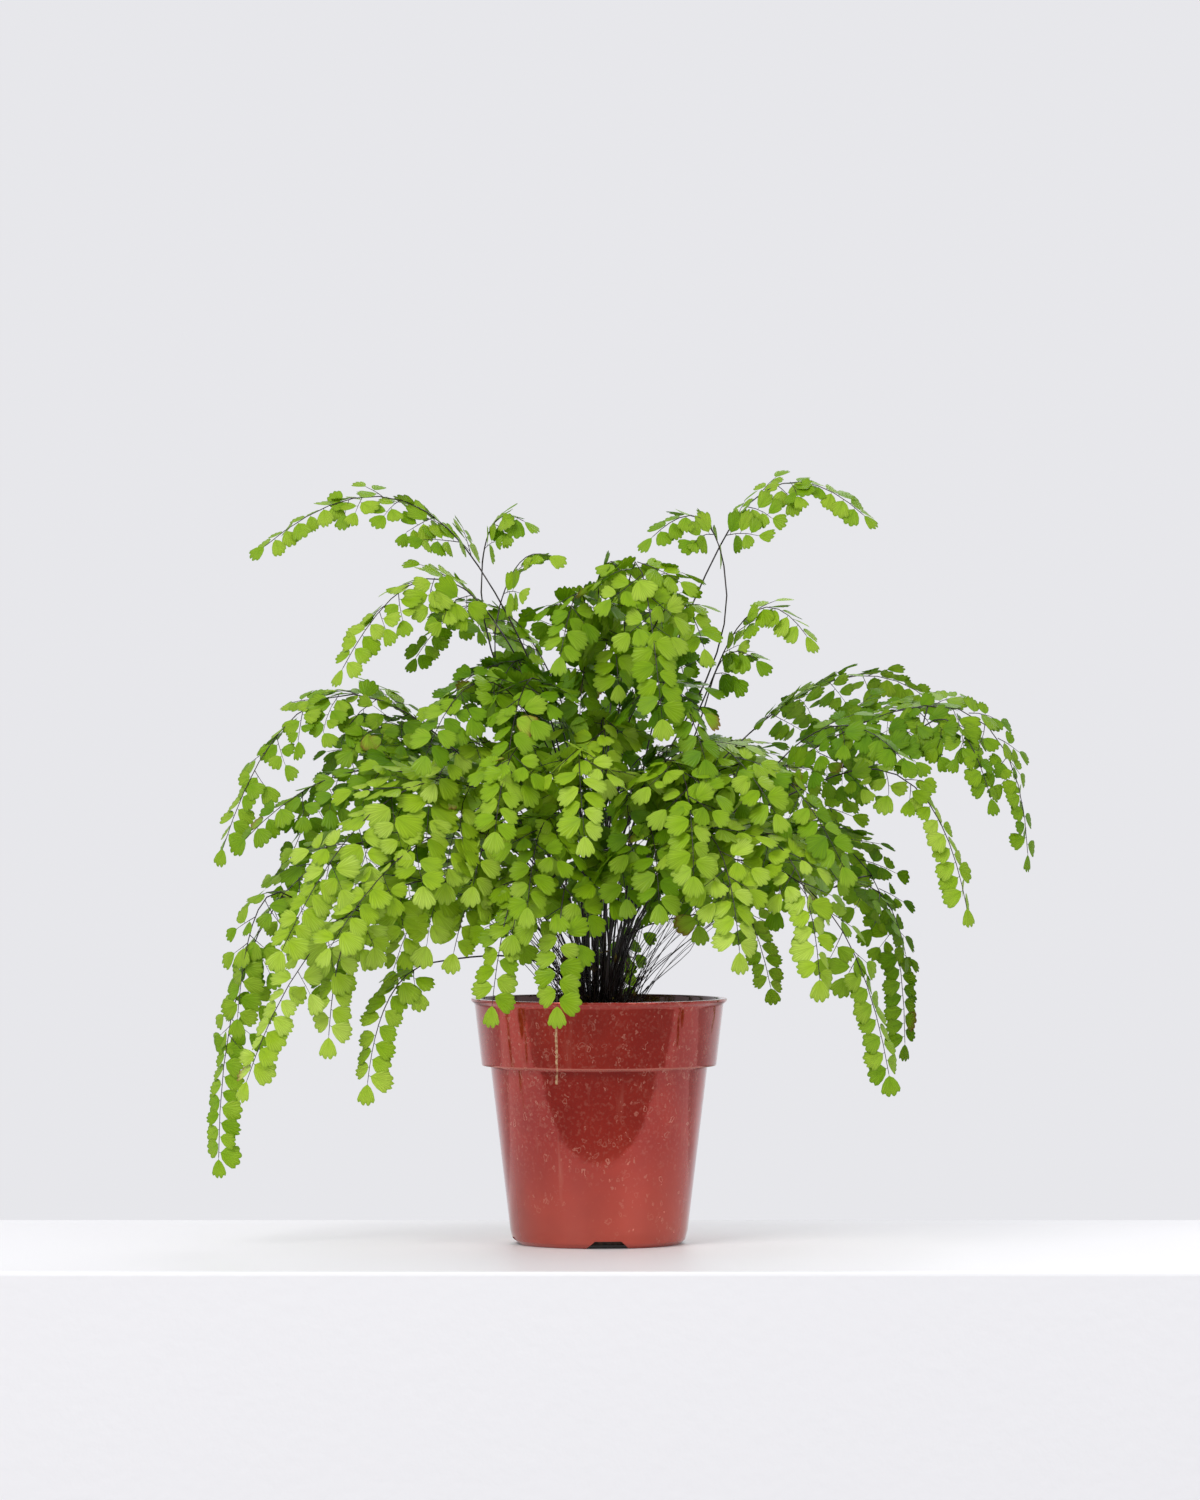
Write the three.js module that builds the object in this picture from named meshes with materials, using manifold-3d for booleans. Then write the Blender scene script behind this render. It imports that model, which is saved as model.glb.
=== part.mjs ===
// Potted maidenhair fern: a nursery pot, its soil, a dark crown with wiry stalks, and the fronds.
// Millimetres, +Z up. The origin is the middle of the pot's flat base, where it stands.
import * as THREE from 'three';
import { mergeVertices } from 'three/addons/utils/BufferGeometryUtils.js';
import Module from 'manifold-3d';

const wasm = await Module();
wasm.setup();

// Pot: a 13 cm moulded nursery pot with a collar and a thin flared lip.
const POT_HEIGHT = 126;
const POT_WALL = 1.6;
const LIP_RADIUS = 65.8;
const LIP_THICKNESS = 1.4;
const COLLAR_TOP_RADIUS = 64;
const COLLAR_LOW_RADIUS = 60.3;
const COLLAR_LOW_Z = 91.5;
const BODY_TOP_RADIUS = 55.8;
const BODY_LOW_RADIUS = 45.6;
const BODY_LOW_Z = 7;
const BASE_RADIUS = 42;
const POT_SIDES = 36;

// Drainage notches where the wall meets the base.
const NOTCH_COUNT = 4;
const NOTCH_FIRST_ANGLE = THREE.MathUtils.degToRad(6);
const NOTCH_HEIGHT = 3.9;
const NOTCH_TOP_WIDTH = 13.5;
const NOTCH_BASE_WIDTH = 22;
const NOTCH_INNER_RADIUS = 37;

// Soil, and the round hole in it that the crown stands in.
const FIT_GAP = 0.3;
const SOIL_EDGE_Z = 112;
const SOIL_MIDDLE_Z = 117;
const SOIL_SIDES = 24;
const SOIL_RELIEF = 1.2;
const CROWN_RADIUS = 16;
const CROWN_LOW_Z = 104;
const CROWN_TOP_Z = 122;

// Stalks: black wiry stems, thin for their length.
const STALK_WIDTH = 1.7;
const STALK_ROOT_Z = 112;
const STALK_STEPS = 4;

// Fronds: one thin arched blade each, cut to the ribs between its leaflets.
const BLADE_THICKNESS = 0.7;
const RIB_HALF = 0.8;
const LEAFLET_LENGTH = 20;
const LEAFLET_WIDTH = 18;
const LEAFLET_ANGLE = THREE.MathUtils.degToRad(58);
const BRANCH_ANGLE = THREE.MathUtils.degToRad(56);
const CLEARANCE = 0.35;
const SAG = 0.002;
const FACE_LEAN = THREE.MathUtils.degToRad(38);
const BRANCH_FOLD = THREE.MathUtils.degToRad(-24);
const FOLD_TRIES = [0, 12, -10, 24, 36, 48, 60].map(THREE.MathUtils.degToRad);
const MAX_RIB_SPAN = 26;
const FIRST_BRANCH = 9;
const LAST_BRANCH = 9;
const BRANCH_STEP = 22;
const LEAFLET_STEP = 15;
const BRANCH_TAPER = 1.35;
const BRANCH_BOW = 0.003;
const FOOT_HALF = 1;

// Greens, from young yellow-green leaflets to the shaded ones inside.
const GREENS = { young: '#a9cc55', bright: '#8cba3e', mid: '#6c9c2a', deep: '#4a7a18' };

// Each frond: where its blade starts on the stalk, the crest it arches over, and its tip.
// reach is the length of its longest side branch.
const FRONDS = [
  { name: 'top_left', neck: [-62, 12, 348], crest: [-112, 5, 384], tip: [-174, -5, 356], reach: 20, green: 'mid' },
  { name: 'top_left_inner', neck: [-60, 2, 350], crest: [-52, -4, 372], tip: [-36, -10, 369], reach: 13, green: 'mid' },
  { name: 'top_left_low', neck: [-51, -8, 327], crest: [-39, -14, 351], tip: [-23, -20, 351], reach: 15, green: 'bright' },
  { name: 'upper_left', neck: [-54, -12, 320], crest: [-92, -22, 340], tip: [-132, -35, 292], reach: 28, green: 'bright' },
  { name: 'left_upper', neck: [-84, 0, 262], crest: [-148, 2, 277], tip: [-194, -5, 200], reach: 34, green: 'mid' },
  { name: 'left_middle', neck: [-74, -22, 232], crest: [-128, -32, 242], tip: [-182, -36, 206], reach: 36, green: 'deep' },
  { name: 'left_front_a', neck: [-51, -32, 228], crest: [-107, -70, 228], tip: [-160, -95, 150], reach: 44, green: 'young' },
  { name: 'left_front_b', neck: [-44, -38, 203], crest: [-88, -74, 208], tip: [-136, -100, 152], reach: 36, green: 'young' },
  { name: 'left_low_a', neck: [-78, -12, 208], crest: [-165, -24, 175], tip: [-194, -28, 42], reach: 35, green: 'mid' },
  { name: 'left_low_b', neck: [-60, -42, 187], crest: [-130, -68, 168], tip: [-178, -80, 84], reach: 34, green: 'young' },
  { name: 'left_low_c', neck: [-84, -56, 146], crest: [-106, -64, 128], tip: [-117, -70, 82], reach: 7, green: 'bright' },
  { name: 'left_low_back', neck: [-60, 36, 182], crest: [-104, 58, 184], tip: [-146, 76, 128], reach: 24, green: 'deep' },
  { name: 'top_right', neck: [62, 10, 358], crest: [96, 4, 391], tip: [138, -6, 372], reach: 16, green: 'mid' },
  { name: 'top_right_inner', neck: [64, -10, 348], crest: [50, -16, 373], tip: [25, -22, 360], reach: 17, green: 'mid' },
  { name: 'top_right_low', neck: [61, -14, 297], crest: [83, -28, 326], tip: [107, -44, 309], reach: 14, green: 'bright' },
  { name: 'right_spray', neck: [57, -28, 286], crest: [67, -36, 303], tip: [82, -44, 297], reach: 12, green: 'deep' },
  { name: 'top_middle', neck: [12, -8, 300], crest: [20, -52, 348], tip: [32, -88, 266], reach: 36, green: 'bright' },
  { name: 'top_middle_left', neck: [-4, -6, 300], crest: [-10, -36, 334], tip: [-20, -66, 298], reach: 26, green: 'mid' },
  { name: 'right_far', neck: [104, 10, 250], crest: [190, 14, 273], tip: [221, 8, 197], reach: 41, green: 'deep' },
  { name: 'right_far_back', neck: [78, 38, 262], crest: [132, 62, 292], tip: [178, 80, 276], reach: 26, green: 'mid' },
  { name: 'right_upper', neck: [86, -14, 240], crest: [122, -34, 266], tip: [156, -50, 246], reach: 28, green: 'deep' },
  { name: 'right_hanging', neck: [120, -12, 240], crest: [163, -22, 233], tip: [188, -30, 170], reach: 9, green: 'bright' },
  { name: 'right_low_back', neck: [64, 42, 206], crest: [137, 72, 196], tip: [161, 84, 96], reach: 34, green: 'deep' },
  { name: 'right_low_edge', neck: [66, -28, 198], crest: [118, -50, 170], tip: [147, -62, 86], reach: 22, green: 'mid' },
  { name: 'right_front_a', neck: [47, -40, 206], crest: [92, -86, 204], tip: [110, -112, 136], reach: 34, green: 'young' },
  { name: 'right_front_b', neck: [34, -46, 210], crest: [58, -96, 208], tip: [70, -122, 150], reach: 34, green: 'young' },
  { name: 'rim_front', neck: [-6, -44, 188], crest: [-17, -78, 186], tip: [-21, -92, 122], reach: 26, green: 'bright' },
  { name: 'rim_left', neck: [-24, -42, 186], crest: [-42, -70, 184], tip: [-54, -84, 122], reach: 26, green: 'bright' },
  { name: 'middle_front', neck: [-5, -42, 230], crest: [-10, -92, 254], tip: [-7, -132, 208], reach: 32, green: 'young' },
  { name: 'middle_left', neck: [-18, -34, 236], crest: [-40, -78, 256], tip: [-52, -114, 210], reach: 32, green: 'bright' },
  { name: 'middle_right', neck: [20, -40, 230], crest: [40, -86, 246], tip: [47, -122, 188], reach: 32, green: 'bright' },
  { name: 'low_middle_right', neck: [14, -34, 200], crest: [25, -74, 216], tip: [30, -108, 174], reach: 32, green: 'mid' },
  { name: 'low_middle_left', neck: [-12, -34, 200], crest: [-27, -70, 218], tip: [-36, -98, 172], reach: 32, green: 'bright' },
  { name: 'low_centre', neck: [4, -26, 176], crest: [8, -50, 206], tip: [14, -80, 176], reach: 26, green: 'mid' },
  { name: 'low_right', neck: [26, -24, 184], crest: [48, -50, 208], tip: [66, -76, 176], reach: 26, green: 'mid' },
  { name: 'high_middle_left', neck: [-17, -12, 258], crest: [-34, -50, 290], tip: [-46, -86, 246], reach: 34, green: 'mid' },
  { name: 'high_middle_right', neck: [13, -14, 262], crest: [34, -52, 288], tip: [54, -86, 246], reach: 32, green: 'deep' },
  { name: 'inner_left', neck: [-30, -20, 262], crest: [-61, -48, 288], tip: [-88, -74, 248], reach: 32, green: 'mid' },
  { name: 'inner_right', neck: [30, -22, 242], crest: [58, -54, 257], tip: [90, -82, 219], reach: 32, green: 'bright' },
  { name: 'right_middle', neck: [46, -26, 230], crest: [86, -56, 244], tip: [124, -80, 192], reach: 34, green: 'mid' },
  { name: 'heart_left', neck: [-16, -4, 262], crest: [-48, -16, 297], tip: [-84, -30, 270], reach: 26, green: 'deep' },
  { name: 'heart_right', neck: [8, -8, 228], crest: [26, -28, 252], tip: [44, -50, 234], reach: 24, green: 'deep' },
  { name: 'heart_high', neck: [-2, -4, 268], crest: [-6, -24, 300], tip: [-10, -48, 268], reach: 26, green: 'deep' },
  { name: 'heart_back', neck: [2, 10, 250], crest: [6, 40, 280], tip: [10, 74, 246], reach: 26, green: 'deep' },
  { name: 'back_top_left', neck: [-25, 30, 292], crest: [-60, 62, 330], tip: [-98, 92, 300], reach: 34, green: 'mid' },
  { name: 'back_top_middle', neck: [8, 32, 300], crest: [16, 72, 340], tip: [24, 110, 300], reach: 34, green: 'mid' },
  { name: 'back_top_right', neck: [18, 28, 280], crest: [34, 60, 312], tip: [48, 92, 278], reach: 28, green: 'deep' },
  { name: 'back_left', neck: [-42, 44, 238], crest: [-84, 96, 256], tip: [-112, 136, 186], reach: 37, green: 'bright' },
  { name: 'back_middle', neck: [-4, 52, 246], crest: [-12, 108, 266], tip: [-22, 152, 196], reach: 37, green: 'mid' },
  { name: 'back_right', neck: [38, 46, 240], crest: [74, 100, 254], tip: [98, 142, 186], reach: 37, green: 'bright' },
  { name: 'back_far_left', neck: [-62, 26, 244], crest: [-122, 56, 256], tip: [-168, 78, 180], reach: 36, green: 'deep' },
  { name: 'back_far_right', neck: [58, 44, 236], crest: [108, 88, 240], tip: [138, 118, 176], reach: 32, green: 'bright' },
  { name: 'back_low_left', neck: [-36, 46, 188], crest: [-80, 90, 188], tip: [-110, 118, 134], reach: 30, green: 'mid' },
  { name: 'back_low_middle', neck: [2, 54, 192], crest: [8, 104, 188], tip: [12, 130, 98], reach: 28, green: 'deep' },
  { name: 'back_low_right', neck: [34, 50, 188], crest: [70, 100, 180], tip: [92, 128, 124], reach: 28, green: 'mid' },
];

const UP = new THREE.Vector3(0, 0, 1);
const vector = (list) => new THREE.Vector3(...list);
const lathePoint = (radius, z) => new THREE.Vector2(radius, z);

// A repeatable draw from 0 to 1 for each frond's small differences.
function seededRandom(seed) {
  let state = seed * 7919 + 17;
  return () => {
    state = (state * 16807) % 2147483647;
    return state / 2147483647;
  };
}

// Closed triangles as a solid that can be joined and cut.
function toSolid(geometry) {
  const bare = geometry.clone();
  bare.deleteAttribute('normal');
  bare.deleteAttribute('uv');
  const merged = mergeVertices(bare, 1e-4);
  const corners = [];
  for (let i = 0; i < merged.index.count; i += 3) {
    const [a, b, c] = [0, 1, 2].map((k) => merged.index.getX(i + k));
    if (a !== b && b !== c && c !== a) corners.push(a, b, c);
  }
  const vertProperties = new Float32Array(merged.attributes.position.array);
  const triVerts = new Uint32Array(corners);
  return new wasm.Manifold(new wasm.Mesh({ numProp: 3, vertProperties, triVerts }));
}

function toGeometry(solid) {
  const mesh = solid.getMesh();
  const geometry = new THREE.BufferGeometry();
  geometry.setAttribute('position', new THREE.BufferAttribute(new Float32Array(mesh.vertProperties), 3));
  geometry.setIndex(new THREE.BufferAttribute(new Uint32Array(mesh.triVerts), 1));
  geometry.computeVertexNormals();
  return geometry;
}

// Turns a profile of radius and height round the Z axis.
function turned(profile, sides) {
  const geometry = new THREE.LatheGeometry(profile, sides);
  geometry.rotateX(Math.PI / 2);
  return geometry;
}

function potSolid() {
  const inner = (radius) => radius - POT_WALL;
  const profile = [
    lathePoint(0, 0),
    lathePoint(BASE_RADIUS, 0),
    lathePoint(BASE_RADIUS + 2.4, 2.2),
    lathePoint(BODY_LOW_RADIUS, BODY_LOW_Z),
    lathePoint(BODY_TOP_RADIUS, COLLAR_LOW_Z),
    lathePoint(COLLAR_LOW_RADIUS, COLLAR_LOW_Z),
    lathePoint(COLLAR_TOP_RADIUS, POT_HEIGHT - 2 * LIP_THICKNESS),
    lathePoint(LIP_RADIUS, POT_HEIGHT - LIP_THICKNESS),
    lathePoint(LIP_RADIUS, POT_HEIGHT),
    lathePoint(inner(COLLAR_TOP_RADIUS), POT_HEIGHT),
    lathePoint(inner(COLLAR_LOW_RADIUS), COLLAR_LOW_Z + POT_WALL),
    lathePoint(inner(BODY_TOP_RADIUS), COLLAR_LOW_Z + POT_WALL),
    lathePoint(inner(BODY_LOW_RADIUS), BODY_LOW_Z),
    lathePoint(BASE_RADIUS, POT_WALL + 0.8),
    lathePoint(BASE_RADIUS - 2, POT_WALL),
    lathePoint(0, POT_WALL),
  ];
  let pot = toSolid(turned(profile, POT_SIDES));
  for (let i = 0; i < NOTCH_COUNT; i += 1) {
    pot = pot.subtract(notchTool(NOTCH_FIRST_ANGLE + (i * 2 * Math.PI) / NOTCH_COUNT));
  }
  return pot;
}

// A trapezium block that reaches out from under the base through the wall.
function notchTool(angle) {
  const below = 1;
  const flare = ((NOTCH_BASE_WIDTH - NOTCH_TOP_WIDTH) / 2 / NOTCH_HEIGHT) * below;
  const shape = new THREE.Shape([
    new THREE.Vector2(-NOTCH_BASE_WIDTH / 2 - flare, -below),
    new THREE.Vector2(NOTCH_BASE_WIDTH / 2 + flare, -below),
    new THREE.Vector2(NOTCH_TOP_WIDTH / 2, NOTCH_HEIGHT),
    new THREE.Vector2(-NOTCH_TOP_WIDTH / 2, NOTCH_HEIGHT),
  ]);
  const geometry = new THREE.ExtrudeGeometry(shape, { depth: 15, bevelEnabled: false });
  geometry.rotateX(Math.PI / 2);
  geometry.translate(0, -NOTCH_INNER_RADIUS, 0);
  geometry.rotateZ(angle);
  return toSolid(geometry);
}

// The soil fills the pot with a slight mound, crumbled by a small relief on top.
function soilSolid() {
  const inside = (radius) => radius - POT_WALL - FIT_GAP;
  const floor = POT_WALL + FIT_GAP;
  const edge = inside(COLLAR_LOW_RADIUS) + 1.2;
  const profile = [
    lathePoint(0, floor),
    lathePoint(BASE_RADIUS - 3, floor),
    lathePoint(inside(BODY_LOW_RADIUS), BODY_LOW_Z + 2),
    lathePoint(inside(BODY_TOP_RADIUS), COLLAR_LOW_Z + POT_WALL + FIT_GAP),
    lathePoint(inside(COLLAR_LOW_RADIUS), COLLAR_LOW_Z + POT_WALL + FIT_GAP),
    lathePoint(edge, SOIL_EDGE_Z),
    lathePoint(48, SOIL_EDGE_Z + 1.5),
    lathePoint(33, SOIL_EDGE_Z + 3.5),
    lathePoint(CROWN_RADIUS + FIT_GAP, SOIL_MIDDLE_Z),
    lathePoint(CROWN_RADIUS + FIT_GAP, CROWN_LOW_Z),
    lathePoint(0, CROWN_LOW_Z),
  ];
  const geometry = turned(profile, SOIL_SIDES);
  const position = geometry.attributes.position;
  for (let i = 0; i < position.count; i += 1) {
    const [x, y, z] = [position.getX(i), position.getY(i), position.getZ(i)];
    if (z > SOIL_EDGE_Z - 1) position.setZ(i, z + SOIL_RELIEF * Math.sin(0.31 * x + 0.9) * Math.cos(0.37 * y));
  }
  return toSolid(geometry);
}

// The rhizome that all stalks rise from: a low scaly dome.
function rhizomeSolid() {
  const profile = [
    lathePoint(0, CROWN_LOW_Z + FIT_GAP),
    lathePoint(CROWN_RADIUS, CROWN_LOW_Z + FIT_GAP),
    lathePoint(CROWN_RADIUS, SOIL_MIDDLE_Z),
    lathePoint(CROWN_RADIUS * 0.7, SOIL_MIDDLE_Z + 3.4),
    lathePoint(0, CROWN_TOP_Z),
  ];
  return toSolid(turned(profile, 16));
}

// The arch of one frond: a curve that passes through neck, crest and tip.
function archOf(frond) {
  const [neck, crest, tip] = [frond.neck, frond.crest, frond.tip].map(vector);
  const handle = crest.clone().multiplyScalar(2);
  handle.sub(neck.clone().add(tip).multiplyScalar(0.5));
  const curve = new THREE.QuadraticBezierCurve3(neck, handle, tip);
  const heading = tip.clone().sub(neck).setZ(0).normalize();
  const side = heading.clone().cross(UP);
  const facing = tip.y > 20 ? -1 : 1;
  return { curve, length: curve.getLength(), side, roll: FACE_LEAN * side.y * facing, heading };
}

// The stalk of one frond: out of the rhizome, then straight into the start of the arch.
function stalkSolid(frond, arch, random) {
  const neck = vector(frond.neck);
  const spread = 3 + 9 * random();
  const root = new THREE.Vector3(arch.heading.x * spread, arch.heading.y * spread, STALK_ROOT_Z);
  const span = neck.distanceTo(root);
  const rise = root.clone().add(new THREE.Vector3(arch.heading.x * 4, arch.heading.y * 4, span * 0.45));
  const lead = neck.clone().sub(arch.curve.getTangentAt(0).multiplyScalar(span * 0.3));
  const path = new THREE.CubicBezierCurve3(root, rise, lead, neck);
  const corners = [0, 1, 2].map((k) => (k * 2 * Math.PI) / 3);
  const section = new THREE.Shape(corners.map((angle) => new THREE.Vector2(
    (STALK_WIDTH / 2) * Math.cos(angle),
    (STALK_WIDTH / 2) * Math.sin(angle),
  )));
  return toSolid(new THREE.ExtrudeGeometry(section, { steps: STALK_STEPS, extrudePath: path }));
}

// A point of the blade: s along the rib, t to its side, fold the tilt of its branch there.
function bladePoint(arch, { s, t, fold = 0, lift = 0 }) {
  const inside = THREE.MathUtils.clamp(s / arch.length, 0, 1);
  const tangent = arch.curve.getTangentAt(inside);
  const point = arch.curve.getPointAt(inside);
  point.addScaledVector(tangent, s - inside * arch.length);
  const side = arch.side.clone().addScaledVector(tangent, -arch.side.dot(tangent)).normalize();
  const normal = side.clone().cross(tangent);
  const level = side.clone().multiplyScalar(Math.cos(arch.roll)).addScaledVector(normal, Math.sin(arch.roll));
  const face = normal.clone().multiplyScalar(Math.cos(arch.roll)).addScaledVector(side, -Math.sin(arch.roll));
  point.addScaledVector(level, t * Math.cos(fold));
  point.addScaledVector(face, Math.abs(t) * Math.sin(fold) + lift);
  point.z -= SAG * t * t;
  const outward = face.multiplyScalar(Math.cos(fold)).addScaledVector(level, -Math.sign(t) * Math.sin(fold));
  return { point, outward };
}

// A triangle between three spots of the blade, turned so that its upper face shows.
function face(a, b, c) {
  const turn = (b.s - a.s) * (c.t - a.t) - (b.t - a.t) * (c.s - a.s);
  return turn > 0 ? [a, b, c] : [a, c, b];
}

// A fan leaflet stands on two foot spots.
const fanFaces = (a, fan, b) => [face(a, fan[0], fan[1]), face(a, fan[1], b), face(b, fan[1], fan[2])];

// A rib is a strip: its triangles zigzag from one edge to the other.
function ribFaces(right, left) {
  const faces = [];
  let [i, j] = [0, 0];
  while (i < right.length - 1 || j < left.length - 1) {
    const stepRight = j === left.length - 1 || (i < right.length - 1 && right[i + 1].way <= left[j + 1].way);
    faces.push(stepRight ? face(right[i], right[i + 1], left[j]) : face(right[i], left[j + 1], left[j]));
    if (stepRight) i += 1;
    else j += 1;
  }
  return faces;
}

// Faces that share their spots become one closed blade of even thickness.
function bladeSolid(arch, spotFaces, thickness) {
  const spots = [...new Set(spotFaces.flat())];
  const numbers = new Map(spots.map((spot, number) => [spot, number]));
  const points = spots.map((spot) => bladePoint(arch, spot));
  const faces = spotFaces.map(([a, b, c]) => [numbers.get(a), numbers.get(c), numbers.get(b)]);
  const edges = new Map();
  for (const face of faces) {
    for (let k = 0; k < 3; k += 1) {
      const [from, to] = [face[k], face[(k + 1) % 3]];
      if (edges.has(`${to},${from}`)) edges.delete(`${to},${from}`);
      else edges.set(`${from},${to}`, [from, to]);
    }
  }
  const count = points.length;
  const positions = [];
  for (const level of [0.5, -0.5]) {
    for (const { point, outward } of points) {
      positions.push(...point.clone().addScaledVector(outward, thickness * level).toArray());
    }
  }
  const corners = [];
  for (const [a, b, c] of faces) corners.push(a, b, c, a + count, c + count, b + count);
  for (const [from, to] of edges.values()) {
    corners.push(from, from + count, to + count, from, to + count, to);
  }
  const geometry = new THREE.BufferGeometry();
  geometry.setAttribute('position', new THREE.Float32BufferAttribute(positions, 3));
  geometry.setIndex(corners);
  return toSolid(geometry);
}

// The three outer points of a fan leaflet, from its rear corner over its lobed end.
function fanPoints(u, v, angle, sideways, size, wave) {
  const along = [Math.cos(angle), sideways * Math.sin(angle)];
  const across = [Math.sin(angle), -sideways * Math.cos(angle)];
  const spot = (a, b, lift) => ({
    u: u + size * (a * LEAFLET_LENGTH * along[0] + b * LEAFLET_WIDTH * across[0]),
    v: v + size * (a * LEAFLET_LENGTH * along[1] + b * LEAFLET_WIDTH * across[1]),
    lift,
  });
  return [spot(0.78, -0.5, wave), spot(1, 0.02, 0), spot(0.7, 0.5, -wave)];
}

// Where side branches leave the rib: alternately, each shorter than the last, then single leaflets.
function branchStations(frond, length) {
  const stations = [];
  let s = FIRST_BRANCH;
  let side = 1;
  while (s < length - LAST_BRANCH) {
    const reach = frond.reach * (1 - (BRANCH_TAPER * s) / length);
    const count = reach > 37 ? 5 : reach > 21 ? 3 : 1;
    stations.push({ s, side, reach, count });
    s += count > 1 ? BRANCH_STEP : LEAFLET_STEP;
    side = -side;
  }
  return stations;
}

// The main rib, whose edges already hold the two foot spots of every branch, and the end leaflet.
function ribPlan(stations, length, random) {
  const edges = { left: [], right: [] };
  const addSpot = (side, s) => {
    const edge = side > 0 ? edges.left : edges.right;
    const last = edge[edge.length - 1];
    const middle = last ? (s + last.s) / 2 : 0;
    if (last && s - last.s > MAX_RIB_SPAN) edge.push({ s: middle, t: side * RIB_HALF, way: middle });
    const spot = { s, t: side * RIB_HALF, way: s };
    edge.push(spot);
    return spot;
  };
  addSpot(1, FIT_GAP);
  addSpot(-1, FIT_GAP);
  for (const station of stations) {
    station.feet = [addSpot(station.side, station.s - FOOT_HALF), addSpot(station.side, station.s + FOOT_HALF)];
  }
  const [right, left] = [addSpot(-1, length), addSpot(1, length)];
  const end = fanPoints(0, 0, 0, -1, 1, random() * 2 - 1);
  const endSpots = end.map(({ u, v, lift }) => ({ s: length + u, t: v, lift }));
  return [...ribFaces(edges.right, edges.left), ...fanFaces(right, endSpots, left)];
}

// One side branch: its own rib with leaflets in pairs and one at the end, or a single leaflet.
function branchFaces(station, count, fold, random) {
  const along = [Math.cos(BRANCH_ANGLE), station.side * Math.sin(BRANCH_ANGLE)];
  const forward = [Math.sin(BRANCH_ANGLE), -station.side * Math.cos(BRANCH_ANGLE)];
  const place = ({ u, v, lift = 0 }) => {
    const bowed = v + BRANCH_BOW * u * u;
    const s = station.s + u * along[0] + bowed * forward[0];
    const t = station.side * RIB_HALF + u * along[1] + bowed * forward[1];
    return { s, t, way: u, fold, lift };
  };
  const fan = (u, v, angle, sideways) => {
    const [size, wave] = [0.88 + 0.22 * random(), 1.6 * (random() * 2 - 1)];
    return fanPoints(u, v, angle, sideways, size, wave).map(place);
  };
  if (count === 1) return fanFaces(station.feet[0], fan(0, 0, 0, -1), station.feet[1]);

  const length = station.reach * (count / station.count);
  const pairs = (count - 1) / 2;
  const pairStep = length / (pairs + 0.2);
  const [rear, front] = [[station.feet[0]], [station.feet[1]]];
  const faces = [];
  const addLeaflet = (edge, u, sideways) => {
    const v = sideways * RIB_HALF;
    const feet = [place({ u: u - FOOT_HALF, v }), place({ u: u + FOOT_HALF, v })];
    edge.push(...feet);
    faces.push(...fanFaces(feet[0], fan(u, v, LEAFLET_ANGLE, sideways), feet[1]));
  };
  for (let i = 0; i < pairs; i += 1) {
    addLeaflet(rear, pairStep * (i + 0.42), -1);
    addLeaflet(front, pairStep * (i + 0.8), 1);
  }
  rear.push(place({ u: length, v: -RIB_HALF }));
  front.push(place({ u: length, v: RIB_HALF }));
  faces.push(...ribFaces(rear, front), ...fanFaces(rear.at(-1), fan(length, 0, 0, -1), front.at(-1)));
  return faces;
}

function boxesMeet(a, b) {
  const [first, second] = [a.boundingBox(), b.boundingBox()];
  return [0, 1, 2].every((k) => first.min[k] <= second.max[k] && second.min[k] <= first.max[k]);
}

const isClear = (solid, others) => others.every((other) => !boxesMeet(solid, other)
  || solid.intersect(other).isEmpty());

// The pot, the soil, and the crown with all its stalks.
const pot = potSolid();
const soil = soilSolid();
const plants = FRONDS.map((frond, index) => {
  const random = seededRandom(index + 1);
  const arch = archOf(frond);
  const stalk = stalkSolid(frond, arch, random);
  const stations = branchStations(frond, arch.length);
  const faces = ribPlan(stations, arch.length, random);
  return { frond, arch, random, stalk, stations, faces };
});
const crown = plants.reduce((joined, { stalk }) => joined.add(stalk), rhizomeSolid());

// Every blade keeps clear of what is already there: a branch in the way is bent, then shortened.
const guard = BLADE_THICKNESS + 2 * CLEARANCE;
const taken = [pot, soil, crown, ...plants.map(({ arch, faces }) => bladeSolid(arch, faces, guard))];
function growBranches(plant, index) {
  for (const station of plant.stations) {
    const others = taken.filter((solid, number) => number !== index + 3);
    const rest = BRANCH_FOLD + 0.2 * (plant.random() * 2 - 1);
    const grown = firstClear(plant, station, rest, others);
    if (grown) {
      plant.faces.push(...grown.faces);
      taken.push(grown.solid);
    }
  }
}

function firstClear(plant, station, rest, others) {
  for (let count = station.count; count > 0; count -= 2) {
    for (const bend of FOLD_TRIES) {
      const faces = branchFaces(station, count, rest + bend, plant.random);
      for (const foot of station.feet) foot.fold = (rest + bend) / 2;
      const solid = bladeSolid(plant.arch, faces, guard);
      if (isClear(solid, others)) return { faces, solid };
    }
  }
  return null;
}

const group = new THREE.Group();
function addPiece(name, solid, color, roughness) {
  const material = new THREE.MeshStandardMaterial({ color, roughness, metalness: 0 });
  const mesh = new THREE.Mesh(toGeometry(solid), material);
  mesh.name = name;
  group.add(mesh);
}

addPiece('pot', pot, '#9c3a2c', 0.35);
addPiece('soil', soil, '#3a2a1e', 0.95);
addPiece('crown', crown, '#1d1412', 0.3);
plants.forEach(growBranches);
for (const { frond, arch, faces } of plants) {
  addPiece(`frond_${frond.name}`, bladeSolid(arch, faces, BLADE_THICKNESS), GREENS[frond.green], 0.55);
}

export default group;
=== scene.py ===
# %% [markdown]
# # A potted maidenhair fern
# The plant grows from one dark crown. Each wiry black stalk carries one arching frond, and each
# frond is a rib with side branches and small fan leaflets. It stands in a glossy nursery pot.
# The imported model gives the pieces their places, so the first step is to load it as a fixed frame.

# %% Load the frame
import bisect
import math
import random

import bmesh
import bpy
from mathutils import Matrix, Vector, noise


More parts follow.
